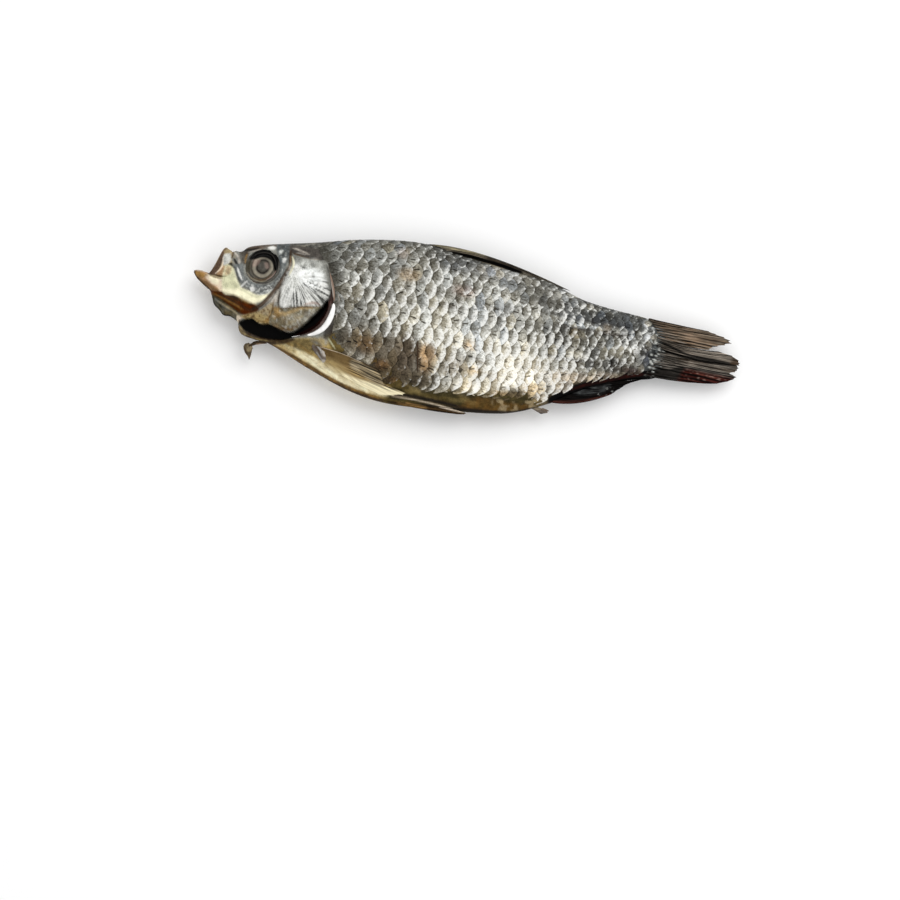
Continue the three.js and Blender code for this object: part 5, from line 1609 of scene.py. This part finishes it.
@dataclass
class Eye:
    """A dried eye: a dull pupil in a tan ring, sunk in a socket of wrinkled skin."""

    side: Side
    outer: float = 8.7
    rings: int = 52
    around: int = 112
    profile: Points = (
        "0 .15, 1.6 .12, 2.4 -.08, 2.85 -.5, 3.2 -.35, 3.8 0, 4.5 -.05, 4.9 -.4, 5.25 -.95, 5.7 -.7, "
        "6.1 -.9, 6.6 -.55, 7 -.85, 7.5 -.5, 7.9 -.45, 8.3 -.2, 8.7 -1.4"
    )
    ladder: str = """
        0 .07 .064 .054, 1.2 .085 .079 .068, 2.1 .055 .05 .04, 2.6 .014 .011 .009, 2.95 .1 .088 .072
        3.4 .25 .225 .175, 4.2 .27 .24 .185, 4.7 .06 .052 .042, 5.1 .14 .125 .1, 5.7 .1 .092 .075
        6.3 .04 .036 .03, 6.8 .12 .115 .1, 7.4 .075 .07 .06, 8 .13 .135 .125, 8.7 .15 .16 .155
    """
    marks: tuple[Mark, ...] = (
        # painted shadow of the socket's upper rim on the sunken eye
        Patch("-97.4 15.8, -94.8 19.9, -90.6 21.4, -87 20.8, -84.8 18.6, -84.2 15, -84.9 11.4, -86.1 13.4, "
            "-87.2 15.6, -89.4 17, -92.2 17, -94.8 15.8", BLACK, 0.9, height=-0.7),
        Line("-96.2 16.8, -94.2 18.6, -91 19.6, -88 19.1, -86.2 17, -85.4 14", WARM_DARK, 0.3, 0.5, 0.3,
            0.35),
        Patch("-95.4 15.4, -92.6 16, -92.6 14.6, -93.8 13, -95.2 12.6", DULL_PINK, 1, 0.5),
        # painted highlight on the upper right of the pupil
        Patch("-90.4 14.9, -88.9 15.1, -88.1 13.2, -89.3 12.6", DULL_PINK, 1.2, 0.4),
        Patch("-98.6 14.6, -96.4 14.8, -96 10.6, -98.4 10", MOSS, 1.4, 0.6),
        Line("-98.8 10, -96.6 7.6, -94 6.2, -91 6", DARK_BROWN, 0.6, 0.5, 0.9, -0.4),
        Line("-97.4 9.8, -94.8 7.5, -91 6.7, -88 7.5", TAN, 0.5, 0.5, 0.6, 0.2),
        Line("-94 8, -91 7.3, -88.4 8.3, -86.4 10.6", BROWN, 0.5, 0.5, 0.8, -0.3),
        Line("-88.6 7.5, -86.2 9.7, -84.8 12.4", DULL_PINK, 0.6, 0.5, 0.6, 0.2),
    )

    def build(self, material: bpy.types.Material) -> bpy.types.Object:
        """Makes the eye: rings of points round its centre, lifted off the flank by its profile.

        Args:
            material: The eye's finish.

        Returns:
            The piece.
        """
        r = np.linspace(0.02, self.outer, self.rings)[:, None]
        turn = np.linspace(0, 2 * np.pi, self.around, endpoint=False)[None, :]
        wobble = 1 + 0.02 * np.sin(2 * turn + 0.6) + 0.012 * np.sin(5 * turn + 2)
        x = EYE_CENTRE[0] + r * wobble * np.cos(turn)
        y = EYE_CENTRE[1] + r * wobble * np.sin(turn) * (1.13 - 0.13 * ramp(3.5, 8.0, r))
        tone = ladder_colour(self.ladder, r + 0 * turn)
        where = np.stack([x, y], -1)
        tone *= (1 + 0.18 * noise(where, 0.9, 51) + 0.10 * noise(where, 2.2, 52))[..., None]
        sheet = Canvas.over(x, y, tone)
        sheet.add(self.marks)
        bumps = (through(self.profile)(r) + 0.07 * noise(where, 0.8, 53)).ravel()
        within_rim = 2 * self.outer - (r + 0 * turn).ravel()
        lift = bumps + sheet.relief * ramp(self.outer, self.outer - 1.2, within_rim)
        flat = BODY_FORM.raised(x.ravel(), y.ravel(), self.side, lift)
        columns = self.around
        hub = list(range(columns))
        rim = [(self.rings - 1) * columns + i for i in range(columns)]
        faces = grid_faces(self.rings, columns, wrap=True)
        form = Form(rest_on_table(flat), faces, sheet.tone, [hub, rim[::-1]])
        return make_piece(f"eye_{self.side}", form.outward(), material)


# ---- fins


class Seat(Enum):
    """What a fin's heights are measured from."""

    MIDDLE = "middle plane"
    FLANK = "flank"


@dataclass
class Fin:
    """A fin of rays and membrane: each ray is a quadratic curve from a root over a bend to a tip.

    Corners of the three curves are x, y and height. Along v, from the first ray to the last, the fin
    is thick on each ray and thin between, and its free edge is cut back between the rays.
    """

    name: str
    root: Points
    bend: Points
    tips: Points
    rays: int
    tone: Colour
    marks: tuple[Mark, ...] = ()
    seat: Seat = Seat.MIDDLE
    side: Side = Side.LEFT
    thick: tuple[float, float] = (0.9, 0.4)
    ridge: float = 0.25
    ragged: float = 0.03
    notch: float = 0.03
    wave: float = 0.2
    lines: float = 1.0
    smooth: Points = ""
    seed: int = 1

    def form(self) -> Form:
        """The fin's closed leaf, with its painting and its pattern map: no lines within the smooth rim."""
        rng = np.random.default_rng(self.seed)
        rows, columns = FIN_ROWS, self.rays * STEPS_PER_RAY + 1
        u = np.linspace(0, 1, rows)[:, None]
        v = np.linspace(0, 1, columns)[None, :]
        root, bend, tips = (sweep(corners, v[0])[None] for corners in (self.root, self.bend, self.tips))
        cut = rng.normal(size=self.rays + 1) * self.ragged
        free = 1 + np.interp(v * self.rays, np.arange(self.rays + 1), cut)
        free = free - self.notch * np.abs(np.sin(np.pi * self.rays * v)) ** 0.8
        s = (u * free)[..., None]
        p = (1 - s) ** 2 * root + 2 * s * (1 - s) * bend + s * s * tips
        x, y, height = p[..., 0], p[..., 1], p[..., 2]
        where = np.stack([x, y], -1)
        crest = np.abs(np.cos(np.pi * self.rays * v)) ** 1.5
        body = self.thick[1] + (self.thick[0] - self.thick[1]) * (1 - u) ** 3
        height = height + self.wave * noise(where, 6.0, self.seed + 60)
        half = np.maximum(body / 2 * (0.45 + 0.55 * crest), 0.08) + 0 * height
        if self.seat is Seat.MIDDLE:
            lie = BODY_FORM.middle(x) + self.side.value * height
        else:
            lie = BODY_FORM.middle(x) + self.side.value * (BODY_FORM.flank(x, y) + height)
        lie = np.maximum(lie, half + TABLE_GAP)
        ribs = self.ridge * crest
        top = np.stack([x, y, lie + self.side.value * (half + ribs * 0.5)], -1)
        under = np.stack([x, y, lie - self.side.value * half], -1)
        sheet = Canvas.over(x, y, self.tone)
        sheet.tone *= (1 + 0.14 * noise(where, 3.0, self.seed + 80)).reshape(-1, 1)
        sheet.add(self.marks)
        run = np.linalg.norm(tips - root, axis=-1) * s[..., 0]
        chart = np.stack(np.broadcast_arrays(v * self.rays * self.lines, run), -1)
        drawn = np.ones((x.size, 1))
        if self.smooth:
            drawn[:, 0] -= within(x.ravel(), y.ravel(), spline(self.smooth, closed=True), 3.0)
        tone = np.concatenate([sheet.tone, drawn], -1).reshape(x.shape + (4,))
        return leaves(rest_on_table(top)[None], rest_on_table(under)[None], tone[None], chart[None])


def tail_lobes() -> list[Fin]:
    """The tail fin's three folded bundles of rays."""
    ends = (
        Line("114.2 16.4, 114 14.4, 112 13.2, 108.6 11.4, 106.8 10", DARK_BROWN, 1.2, 1, 0.6, taper=0.1),
    )
    upper = Fin(
        "tail_upper", "78 19.2 0, 80.6 16.4 .2, 82.6 13.4 .3, 83.4 10.4 .3", "93 18.4 0, 94 16.2 .2, "
        "95 13.2 .4, 95 9.2 .6", "105.4 18 0, 111 16.9 .1, 114.4 15.4 .2, 113 13.4 .2, 109 11.6 .3, "
        "106 10 .4", 8, (0.22, 0.175, 0.13),
        (
            Patch("82 18, 92 18.4, 100 17, 108 15, 104 11, 94 11, 84 11", TAIL_BROWN, 4, 0.7, mottle=0.5),
            Patch("82 15, 90 14, 96 10.6, 92 8, 83 9", TAIL_GREY, 2, 0.8),
            Streaks("79 19, 92 18.6, 108 17, 112 14, 104 10, 84 10", (68, 14.6), DARK_BROWN, 62, 1, 0.75,
                -0.05, 0, 82, 0.03),
            Streaks("84 18, 94 18.4, 112 16, 112 12, 104 10, 84 11", (68, 14.6), LIP_TAN, 48, 1.2, 0.4,
                0.05, -0.1, 83, 0.05),
            Line("80 19, 92 18.8, 106 18", DARK_BROWN, 0.8, 0.7, 0.8, taper=0.1),
            Line("84 11, 90 10.2, 96 9.6, 104 9.6", SOOT, 0.7, 0.6, 0.8, taper=0.2),
        ) + ends,
        thick=(5, 0.7), ridge=0.4, ragged=0.03, notch=0.035, wave=0.25, seed=5,
    )
    middle = Fin(
        "tail_middle", "82.6 11.4 .6, 83 9.4 .7, 83.4 7.4 .6", "96 8.4 1.2, 96.4 7.2 1.5, 94 5.2 1.4",
        "110 10 .9, 116.6 8.9 1.1, 119.2 8.2 1.2, 119.8 6.6 1.4, 119.6 5.4 1.5", 5, (0.22, 0.185, 0.15),
        (
            Patch("98 10.6, 108 10, 116 9, 114 6.6, 100 7", TAIL_GREY, 1.8, 0.8, mottle=0.4),
            Patch("83 10, 90 8.8, 95 7, 91 5.4, 83 6.4", SOOT, 1.6, 0.55, mottle=0.5),
            Line("84 10, 90 8.4, 96 6.6, 104 5.8, 118 5.6", SOOT, 1.1, 0.6, 0.95, taper=0.1),
            Patch("117.4 9, 121 9, 121 4, 116.6 5", DARK_BROWN, 1, 0.85),
        ),
        thick=(4.4, 0.8), ridge=0.3, ragged=0.01, notch=0.01, wave=0.15, seed=6,
    )
    lower = Fin(
        "tail_lower", "83 7.6 0, 83.6 4 0, 83 0 0, 80 -5.6 0", "97 6 -.3, 97 3.2 -.2, 96 0 -.1, 92 -6.2 0",
        "117.6 6.2 -.4, 120.3 4.6 -.4, 120 2.8 -.3, 117.4 1.5 -.2, 119.2 .4 -.2, 118.2 -1.6 -.2, "
        "110.4 -4.2 0, 102 -5.2 0", 12, (0.2, 0.175, 0.15),
        (
            Patch("84 5.4, 96 4.6, 104 4.4, 116 4, 118 1.6, 104 1.4, 92 1.4, 84 2", TAIL_GREY, 1.4, 0.8,
                mottle=0.35),
            Streaks("83 8, 90 6, 98 4.6, 96 0, 84 -1", (70, 4), BLACK, 60, 1.4, 0.85, -0.1, 0.05, 84,
                0.03),
            Streaks("94 5.6, 117 5, 119 2, 98 1.2", (60, 4), DARK_BROWN, 70, 1.2, 0.7, 0, 0, 85, 0.03),
            # painted shadow on the lower lobe under the middle lobe's edge
            Line("84 6.8, 94 5.6, 104 4.9, 118 5.2", BLACK, 1, 0.7, 0.95, -0.2, taper=0.2),
            Patch("84 -1, 90 -1, 95 .8, 97.8 .4, 97.2 -2.6, 95.4 -3.6, 95 -7, 80 -8", BLACK, 1.2, 0.9),
            Patch("98.4 .6, 106 .4, 118 0, 119.6 0, 117 -3.4, 106 -5.8, 96 -6.4, 95.4 -3", DARK_RED, 2.2),
            Line("102 -1, 109 -1.2, 115 -1", TAIL_RED, 1.8, 0.9, 0.6, mottle=0.5),
            Specks("97 -.4, 108 -.4, 116 -.8, 112 -2.8, 97 -4", DULL_PINK, 0.7, 0.8, 0.5, 0, 0.3, 71),
            Line("96 -5.8, 108 -4.9, 118.4 -2, 119.6 0", SOOT, 0.9, 0.6, 0.9, taper=0.1),
            Line("98 .9, 108 .8, 117 1.1", SOOT, 0.7, 0.6, 0.8, taper=0.1),
        ),
        thick=(5, 0.7), ridge=0.3, ragged=0.012, notch=0.01, wave=0.2, seed=7,
    )
    return [upper, middle, lower]


def trunk_fins() -> list[Fin]:
    """The fins along the back and the belly: dorsal, anal and both pelvic ones."""
    dorsal = Fin(
        "dorsal_fin", "-22 35 .8, -17 34.4 1.2, -12 33.2 1.4, -8 31.6 1.2", "0 38.2 .8, 3 36.4 1.6, "
        "5 33.8 2, 6 30.8 1.6", "42.4 25.2 .8, 38 25.8 1, 30 27.2 1.2, 22 28.2 1", 7, (0.3, 0.265, 0.2),
        (
            Patch("-22 36, -10 37.4, 8 37, 3 34.2, -12 34.4", PALE_GOLD, 1.4, 0.6, mottle=0.3),
            Patch("4 38, 20 34, 42 26, 40 24, 24 28.4, 6 32", SHADOW_BROWN, 2, 0.8, mottle=0.4),
            Line("-21 35.2, -8 36.8, 6 36, 20 32.6, 32 28.8", DARK_BROWN, 0.6, 0.6, 0.8, taper=0.1),
            # painted shadow in the gap between the folded fin's lower edge and the back
            Line("-12 33, -2 32.6, 10 31.2, 20 29.6", BLACK, 1.6, 0.7, 1, -0.2, taper=0.1),
            Line("-16 34.2, -6 34, 4 33.2, 16 31.4, 30 28.4", DARK_BROWN, 0.6, 0.5, 0.8),
        ),
        thick=(1.6, 0.7), ridge=0.3, ragged=0, notch=0.004, wave=0.1, seed=8,
    )
    anal = Fin(
        "anal_fin", "41 -24 .6, 47 -20.6 1.4, 55 -16 1.5, 62 -12.4 1.1", "54 -24.4 .6, 58 -20.6 1.2, "
        "64 -15.4 1.3, 70 -9.6 .9", "67.6 -15.9 .5, 70.4 -13.2 .7, 74 -10.2 .8, 80 -7.4 .6", 9,
        (0.006, 0.005, 0.0045),
        (
            Line("41 -24, 52 -22.4, 60 -19.8, 67 -16.4", TAIL_RED, 1.8, 1, 0.6, taper=0.1),
            Patch("50 -18, 57 -14.8, 66 -11.8, 64 -15.4, 55 -18.6", SLATE, 1.4, 0.45, mottle=0.6),
            Specks("62 -14.8, 67 -13, 67.6 -15.6, 62 -17.6", SILVER, 0.7, 0.8, 0.7, 0, 0.42, 73),
            Line("56 -13, 64 -10, 72 -7.4", DARK_RED, 0.9, 1, 0.4, taper=0.2),
        ),
        thick=(2, 0.7), ridge=0.35, ragged=0.012, notch=0.012, wave=0.15, seed=9,
    )
    pelvic = [
        Fin(
            f"pelvic_fin_{side}", "-27 -33 2.4, -29 -34.6 1.8, -30 -35.4 1.2",
            "-12 -32.4 2.4, -12 -34.6 2.2, -12 -36.6 1.4", "6.6 -34.6 1.6, 6 -35.2 1.4, 3 -35.7 1.2", 5,
            (0.07, 0.04, 0.016),
            (
                Line("-24 -32.8, -10 -33.3, 5 -34.6", CREAM_PINK, 1.1, 0.5, 1, 0.1, taper=0.2),
                Line("-28 -36, -12 -36, 4 -35.8", SOOT, 0.7, 0.6, 0.7, taper=0.2),
                Patch("-24 -34.6, -20 -33.6, -12 -34.4, -12 -35.6, -22 -36", OCHRE, 1, 0.6),
            ),
            seat=Seat.MIDDLE, side=side, thick=(1, 0.5), ridge=0.15, ragged=0.01, notch=0.01, wave=0.1,
            seed=10,
        )
        for side in Side
    ]
    return [dorsal, anal, *pelvic]


def pectoral_fin(side: Side) -> Fin:
    """One of the fins that lie back along the chest."""
    return Fin(
        f"pectoral_fin_{side}", "-60.8 -16.8 .6, -60.6 -18.4 1.2, -59.6 -20.4 1.4, "
        "-58.4 -22.6 1.2, -57.4 -24.6 .6", "-50 -17.9 1, -49 -20 1.3, -47 -22.6 1.4, -45 -26 1.3, "
        "-46 -29 .6", "-39.4 -20.9 .7, -34.6 -22.8 .9, -31.4 -26 1, -29.6 -28.8 1.1, -20.4 -30.8 1.2, "
        "-24.6 -32 .8, -32 -33 .4", 17, (0.33, 0.23, 0.1),
        (
            Patch("-61 -17, -50 -18, -40 -20.6, -38 -24, -50 -23, -60 -21", FIN_BROWN, 1.6, 0.95,
                mottle=0.15),
            Patch("-46 -20.2, -40 -21, -34 -22.8, -30 -28, -34 -28.6, -40 -26.4, -46 -23.6", TAN, 1.6, 0.8,
                mottle=0.3),
            Patch("-60 -23, -52 -25, -44 -27.6, -34 -28.8, -20 -30.8, -24 -33, -34 -35, -46 -31.6, "
                "-58 -26", PALE_CREAM, 1.8),
            Patch("-58 -21, -51 -22.6, -48 -26, -52 -28, -58 -25.6", GOLD, 2.4, 0.7, mottle=0.25),
            Streaks("-56 -21, -46 -22, -40 -26, -42 -31, -56 -26", (-66, -15), BROWN, 60, 2.4, 0.25, -0.04,
                0, 75, 0.1),
            Line("-61 -16.8, -50 -18.2, -42 -20.4", CREAM_PINK, 0.6, 0.5, 0.95, taper=0.3),
            Line("-41 -20.9, -35 -22.6, -31.6 -25.6, -30 -28.6", DARK_BROWN, 1.2, 0.8, 0.8, taper=0.2),
            Line("-34 -33.6, -28 -33, -22 -31.4", DARK_BROWN, 0.8, 0.6, 0.6),
        ),
        seat=Seat.FLANK, side=side, thick=(0.9, 0.3), ridge=0.16, ragged=0.012, notch=0.012, wave=0.15,
        lines=0.6, smooth="-62 -15, -48 -17, -47 -24, -40 -28, -30 -30.4, -16 -30, -20 -36, -40 -36, "
        "-62 -28", seed=12,
    )


# ---- bones and scraps


@dataclass
class Strand:
    """A flattened strand along a smooth path: a bone, a fold of skin or a torn scrap.

    Corners of the path are x, y and height; the width and the thickness follow their own curves from
    one end to the other.
    """

    name: str
    path: Points
    width: Points
    thick: float
    tone: Colour
    marks: tuple[Mark, ...] = ()
    seat: Seat = Seat.FLANK
    side: Side = Side.LEFT
    rough: float = 0.0
    seed: int = 1

    def form(self) -> Form:
        """The strand: rings of an oval that is square to the path in the plane of the flank."""
        rows, columns = ROWS_PER_CORNER * (self.path.count(",") + 1), STRAND_SIDES
        t = np.linspace(0, 1, rows)
        centre = sweep(self.path, t)
        ahead = np.gradient(centre[:, :2], axis=0)
        ahead /= np.linalg.norm(ahead, axis=1, keepdims=True)
        across = np.stack([-ahead[:, 1], ahead[:, 0]], -1)
        wide = through(self.width)(t)[:, None]
        turn = np.linspace(0, 2 * np.pi, columns, endpoint=False)[None, :]
        c, s = np.cos(turn), np.sin(turn)
        reach = wide / 2 * c
        xy = centre[:, None, :2] + across[:, None, :] * reach[..., None]
        xy += self.rough * np.stack([noise(xy, 1.2, self.seed), noise(xy, 1.2, self.seed + 1)], -1)
        x, y = xy[..., 0], xy[..., 1]
        base = BODY_FORM.flank(x, y) if self.seat is Seat.FLANK else np.zeros(x.shape)
        height = centre[:, None, 2] + np.minimum(self.thick, wide * 0.8) / 2 * s
        height = height + base + self.rough * noise(xy, 1.0, self.seed + 2)
        z = BODY_FORM.middle(x) + self.side.value * height
        points = rest_on_table(np.stack([x, y, z], -1)).reshape(-1, 3)
        sheet = Canvas.over(x, y, self.tone)
        sheet.tone *= (1 + 0.12 * noise(xy, 1.5, self.seed + 4)).reshape(-1, 1)
        sheet.add(self.marks)
        caps = [list(range(columns)), [(rows - 1) * columns + i for i in range(columns)][::-1]]
        return Form(points, grid_faces(rows, columns, wrap=True), sheet.tone, caps).outward()


def strands(side: Side) -> list[Strand]:
    """The bones and folds of one side's shoulder."""
    return [
        Strand(
            f"shoulder_bone_{side}", "-57.9 3.2 -.4, -57.6 .4 .1, -58 -3 .2, -59.1 -6.4 .1, "
            "-61.2 -9.6 0, -64.6 -12 -.2, -68.6 -13.3 -.6, -73.6 -14.6 -1.4", "0 .5, .1 1.4, .28 2.3, "
            ".45 2.4, .6 2.1, .75 1.3, .88 .8, 1 .3", 1.6, (0.92, 0.91, 0.89),
            (
                Line("-59.4 2, -59.7 -2, -61.2 -6.6, -63.6 -9.8, -68 -12", DULL_PINK, 0.7, 0.6, 0.6,
                    taper=0.2),
                Line("-56.6 3, -56.2 -2, -57.4 -7", WARM_GREY, 0.6, 0.5, 0.5, taper=0.2),
            ),
            side=side, seed=81,
        ),
        Strand(
            f"shoulder_fold_{side}", "-63.8 18.8 -.5, -62 15.4 0, -60.4 12 .3, -59.1 8.6 .4, "
            "-58.2 5.4 .3, -57.6 2.8 -.3", "0 .4, .3 .9, .6 1.2, 1 .5", 1, (0.24, 0.165, 0.125),
            (Line("-63.2 17, -60.9 12, -59.3 8, -58.4 5", PINK_GREY, 0.5, 0.4, 0.8, taper=0.2),),
            side=side, seed=83,
        ),
        Strand(
            f"fin_knob_{side}", "-64 -16.6 .2, -61.6 -18.4 1.1, -59.4 -20.4 1.5, "
            "-57.8 -23.2 .6", "0 1, .3 3, .7 3.2, 1 1.8", 2.2, (0.13, 0.105, 0.085),
            (
                # painted highlight on the knob's upper part; the next patch is its own pink lower end
                Patch("-59.6 -18, -58 -18.4, -57.4 -20.6, -58.8 -20.4", PINK_GREY, 0.8, 0.9),
                Patch("-59 -22.2, -57.2 -22.4, -57.4 -24.2, -59 -24", PINK_GREY, 0.8, 0.8),
                Line("-63 -17, -61 -18.4, -60 -20.6", DARK_BROWN, 1, 0.6, 0.8),
                # two silver lines: painted highlights on the knob
                Line("-62 -16.8, -60.4 -18, -59.4 -19.8", SILVER, 0.5, 0.5, 0.6),
                Line("-61.8 -19.4, -60.4 -21, -59.2 -22.2", SILVER, 0.4, 0.5, 0.5),
            ),
            side=side, rough=0.35, seed=85,
        ),
        Strand(
            f"torn_edge_{side}", "-19.4 -7.4 .5, -19 -10 .62, -18.4 -13.6 .65, -18 -17 .62, "
            "-17.2 -21 .5", "0 .2, .3 .6, .6 .7, 1 .3", 0.4, DARK_BROWN, side=side, rough=0.12, seed=87,
        ),
    ]


def scraps() -> list[Strand]:
    """The torn scraps of dried skin under the throat and behind the vent."""
    return [
        Strand(
            "throat_scrap_stem", "-84.4 -18.6 -.6, -87 -19 -.8, -89.6 -19.9 -1, -92 -21.4 -1.4", "0 1, "
            ".5 1.6, 1 1.2", 1, (0.05, 0.032, 0.018),
            (Line("-85 -19.4, -88 -20, -89.4 -21", LIP_TAN, 0.5, 0.4, 0.6),),
            seat=Seat.MIDDLE, rough=0.15, seed=91,
        ),
        Strand(
            "throat_scrap", "-91.4 -20.2 -1.2, -92 -21.8 -1.8, -91.8 -23.4 -2.4, -91.4 -25.2 -2.8, "
            "-90.9 -27 -3.2", "0 1.6, .25 4.2, .5 3.6, .8 1.6, 1 .3", 0.9, (0.1, 0.075, 0.045),
            (
                Patch("-92.6 -21.4, -90.6 -21.2, -90.4 -23.4, -92.2 -23.6", OLIVE_TAN, 0.8, 0.8,
                    mottle=0.4),
                Line("-89.9 -21, -90 -24, -90.8 -26.6", DARK_BROWN, 0.8, 0.5, 0.8),
                Line("-93.8 -22, -92.8 -24, -91.6 -26", DARK_BROWN, 0.7, 0.5, 0.8),
            ),
            seat=Seat.MIDDLE, rough=0.25, seed=93,
        ),
        Strand(
            "vent_scrap", "33.4 -26.4 -.4, 35.8 -27.4 -.8, 38.4 -28.2 -1.2, 41.2 -28.6 -1.6", "0 1.2, "
            ".4 2.4, .75 2, 1 .5", 1, (0.13, 0.105, 0.085),
            (
                Patch("34 -26.2, 38.4 -26.8, 37 -28, 34.6 -27.6", TAN, 0.8, 0.7, mottle=0.5),
                Line("35 -28.6, 38 -29.4, 41 -29", SOOT, 0.7, 0.5, 0.8),
            ),
            seat=Seat.MIDDLE, rough=0.3, seed=95,
        ),
        Strand(
            "vent_scrap_tip", "38.6 -27.2 -1, 40.4 -27.6 -1.3, 41.8 -27.9 -1.7", "0 1, .5 .9, 1 .3", 0.7,
            (0.16, 0.12, 0.09), seat=Seat.MIDDLE, rough=0.2, seed=97,
        ),
    ]


# ---- stage


@dataclass
class Stage:
    """Floor, lights and camera. The camera looks straight down, turned so that the fish slants."""

    roll_degrees: float = 9.5
    floor_half: float = 3.0
    aim: tuple[float, float] = (2.04, -51.6)
    aim_height: float = 12.0
    field: float = 390.8
    lens: float = 100.0
    sensor: float = 36.0
    floor_tone: float = 0.95
    world_light: float = 0.74

    def floor(self) -> None:
        """A plain pale floor under the fish."""
        mesh = bpy.data.meshes.new("floor")
        r = self.floor_half
        mesh.from_pydata([(-r, -r, 0), (r, -r, 0), (r, r, 0), (-r, r, 0)], [], [(0, 1, 2, 3)])
        made = bpy.data.materials.new("floor")
        made.use_nodes = True
        shader = made.node_tree.nodes["Principled BSDF"]
        shader.inputs["Base Color"].default_value = (self.floor_tone, self.floor_tone, self.floor_tone, 1)
        shader.inputs["Roughness"].default_value = 0.9
        shader.inputs["Specular IOR Level"].default_value = 0.1
        mesh.materials.append(made)
        floor = bpy.data.objects.new("floor", mesh)
        bpy.context.scene.collection.objects.link(floor)
        floor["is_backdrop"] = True

    def lamp(self, name: str, place: tuple[float, float, float], size: float, power: float) -> None:
        """A square area light that faces the fish.

        Args:
            name: Its name.
            place: Where it is, in metres.
            size: Its side, in metres.
            power: Its power, in watts.
        """
        data = bpy.data.lights.new(name, "AREA")
        data.size = size
        data.energy = power
        lamp = bpy.data.objects.new(name, data)
        lamp.location = place
        aim = -lamp.location
        lamp.rotation_euler = aim.to_track_quat("-Z", "Y").to_euler()
        bpy.context.scene.collection.objects.link(lamp)

    def camera(self) -> None:
        """The camera: its distance is the field times the lens over the sensor."""
        data = bpy.data.cameras.new("camera")
        data.lens = self.lens
        data.sensor_width = self.sensor
        camera = bpy.data.objects.new("camera", data)
        reach = self.field * self.lens / self.sensor
        place = Matrix.Translation((self.aim[0] * MM, self.aim[1] * MM, (self.aim_height + reach) * MM))
        camera.matrix_world = place @ Matrix.Rotation(math.radians(self.roll_degrees), 4, "Z")
        bpy.context.scene.collection.objects.link(camera)
        bpy.context.scene.camera = camera

    def build(self) -> None:
        """Sets up the whole stage."""
        scene = bpy.context.scene
        world = bpy.data.worlds.new("studio")
        world.use_nodes = True
        world.node_tree.nodes["Background"].inputs["Color"].default_value = (1, 1, 1, 1)
        world.node_tree.nodes["Background"].inputs["Strength"].default_value = self.world_light
        scene.world = world
        scene.view_settings.view_transform = "Standard"
        self.floor()
        self.lamp("window", (0.5, 0.9, 1.3), size=1.3, power=14.2)
        self.lamp("fill", (0.5, -0.9, 1.3), size=1.4, power=2.5)
        self.camera()


# ---- the whole fish


def main() -> None:
    """Builds the stage and every piece of the fish in order."""
    logging.basicConfig(level=logging.INFO, format="%(name)s %(message)s")
    Stage().build()
    groups = {Pattern.GRAIN: dried_grain(), Pattern.SCALE: scale_pattern(), Pattern.RAYS: fin_rays()}
    mottled = (("Mottle", 0.34),)
    skin = Finish("dried_skin", settings=mottled, roughness=0.42, bump=0.5, depth=0.15, specular=0.04)
    scale = Finish("dried_scales", Pattern.SCALE, roughness=0.40, bump=0.5, depth=0.2, specular=0.12)
    fin = Finish("dried_fins", Pattern.RAYS, roughness=0.5, bump=0.6, depth=0.3, specular=0.035)
    bone = Finish("dried_bone", settings=(("Mottle", 0.08),), roughness=0.32, bump=0.2, depth=0.1)
    eye = Finish("dried_eye", settings=(("Mottle", 0.15),), roughness=0.38, bump=0.3, depth=0.1)
    skin_stuff, scale_stuff, fin_stuff, bone_stuff, eye_stuff = (
        finish.material(groups) for finish in (skin, scale, fin, bone, eye)
    )
    Skin().build(skin_stuff)
    Jaws().build(skin_stuff)
    for side in Side:
        Scales(side).build(scale_stuff)
        Eye(side).build(eye_stuff)
        for strand in strands(side):
            make_piece(strand.name, strand.form(), bone_stuff)
        made = pectoral_fin(side)
        make_piece(made.name, made.form(), fin_stuff)
    for made in tail_lobes() + trunk_fins():
        make_piece(made.name, made.form(), fin_stuff)
    for strand in scraps():
        make_piece(strand.name, strand.form(), skin_stuff)
    boxes = {"cad": [list(map(float, corner)) for corner in CAD_BOX]}
    boxes["visual"] = [list(map(float, corner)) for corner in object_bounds()]


if __name__ == "__main__":
    main()
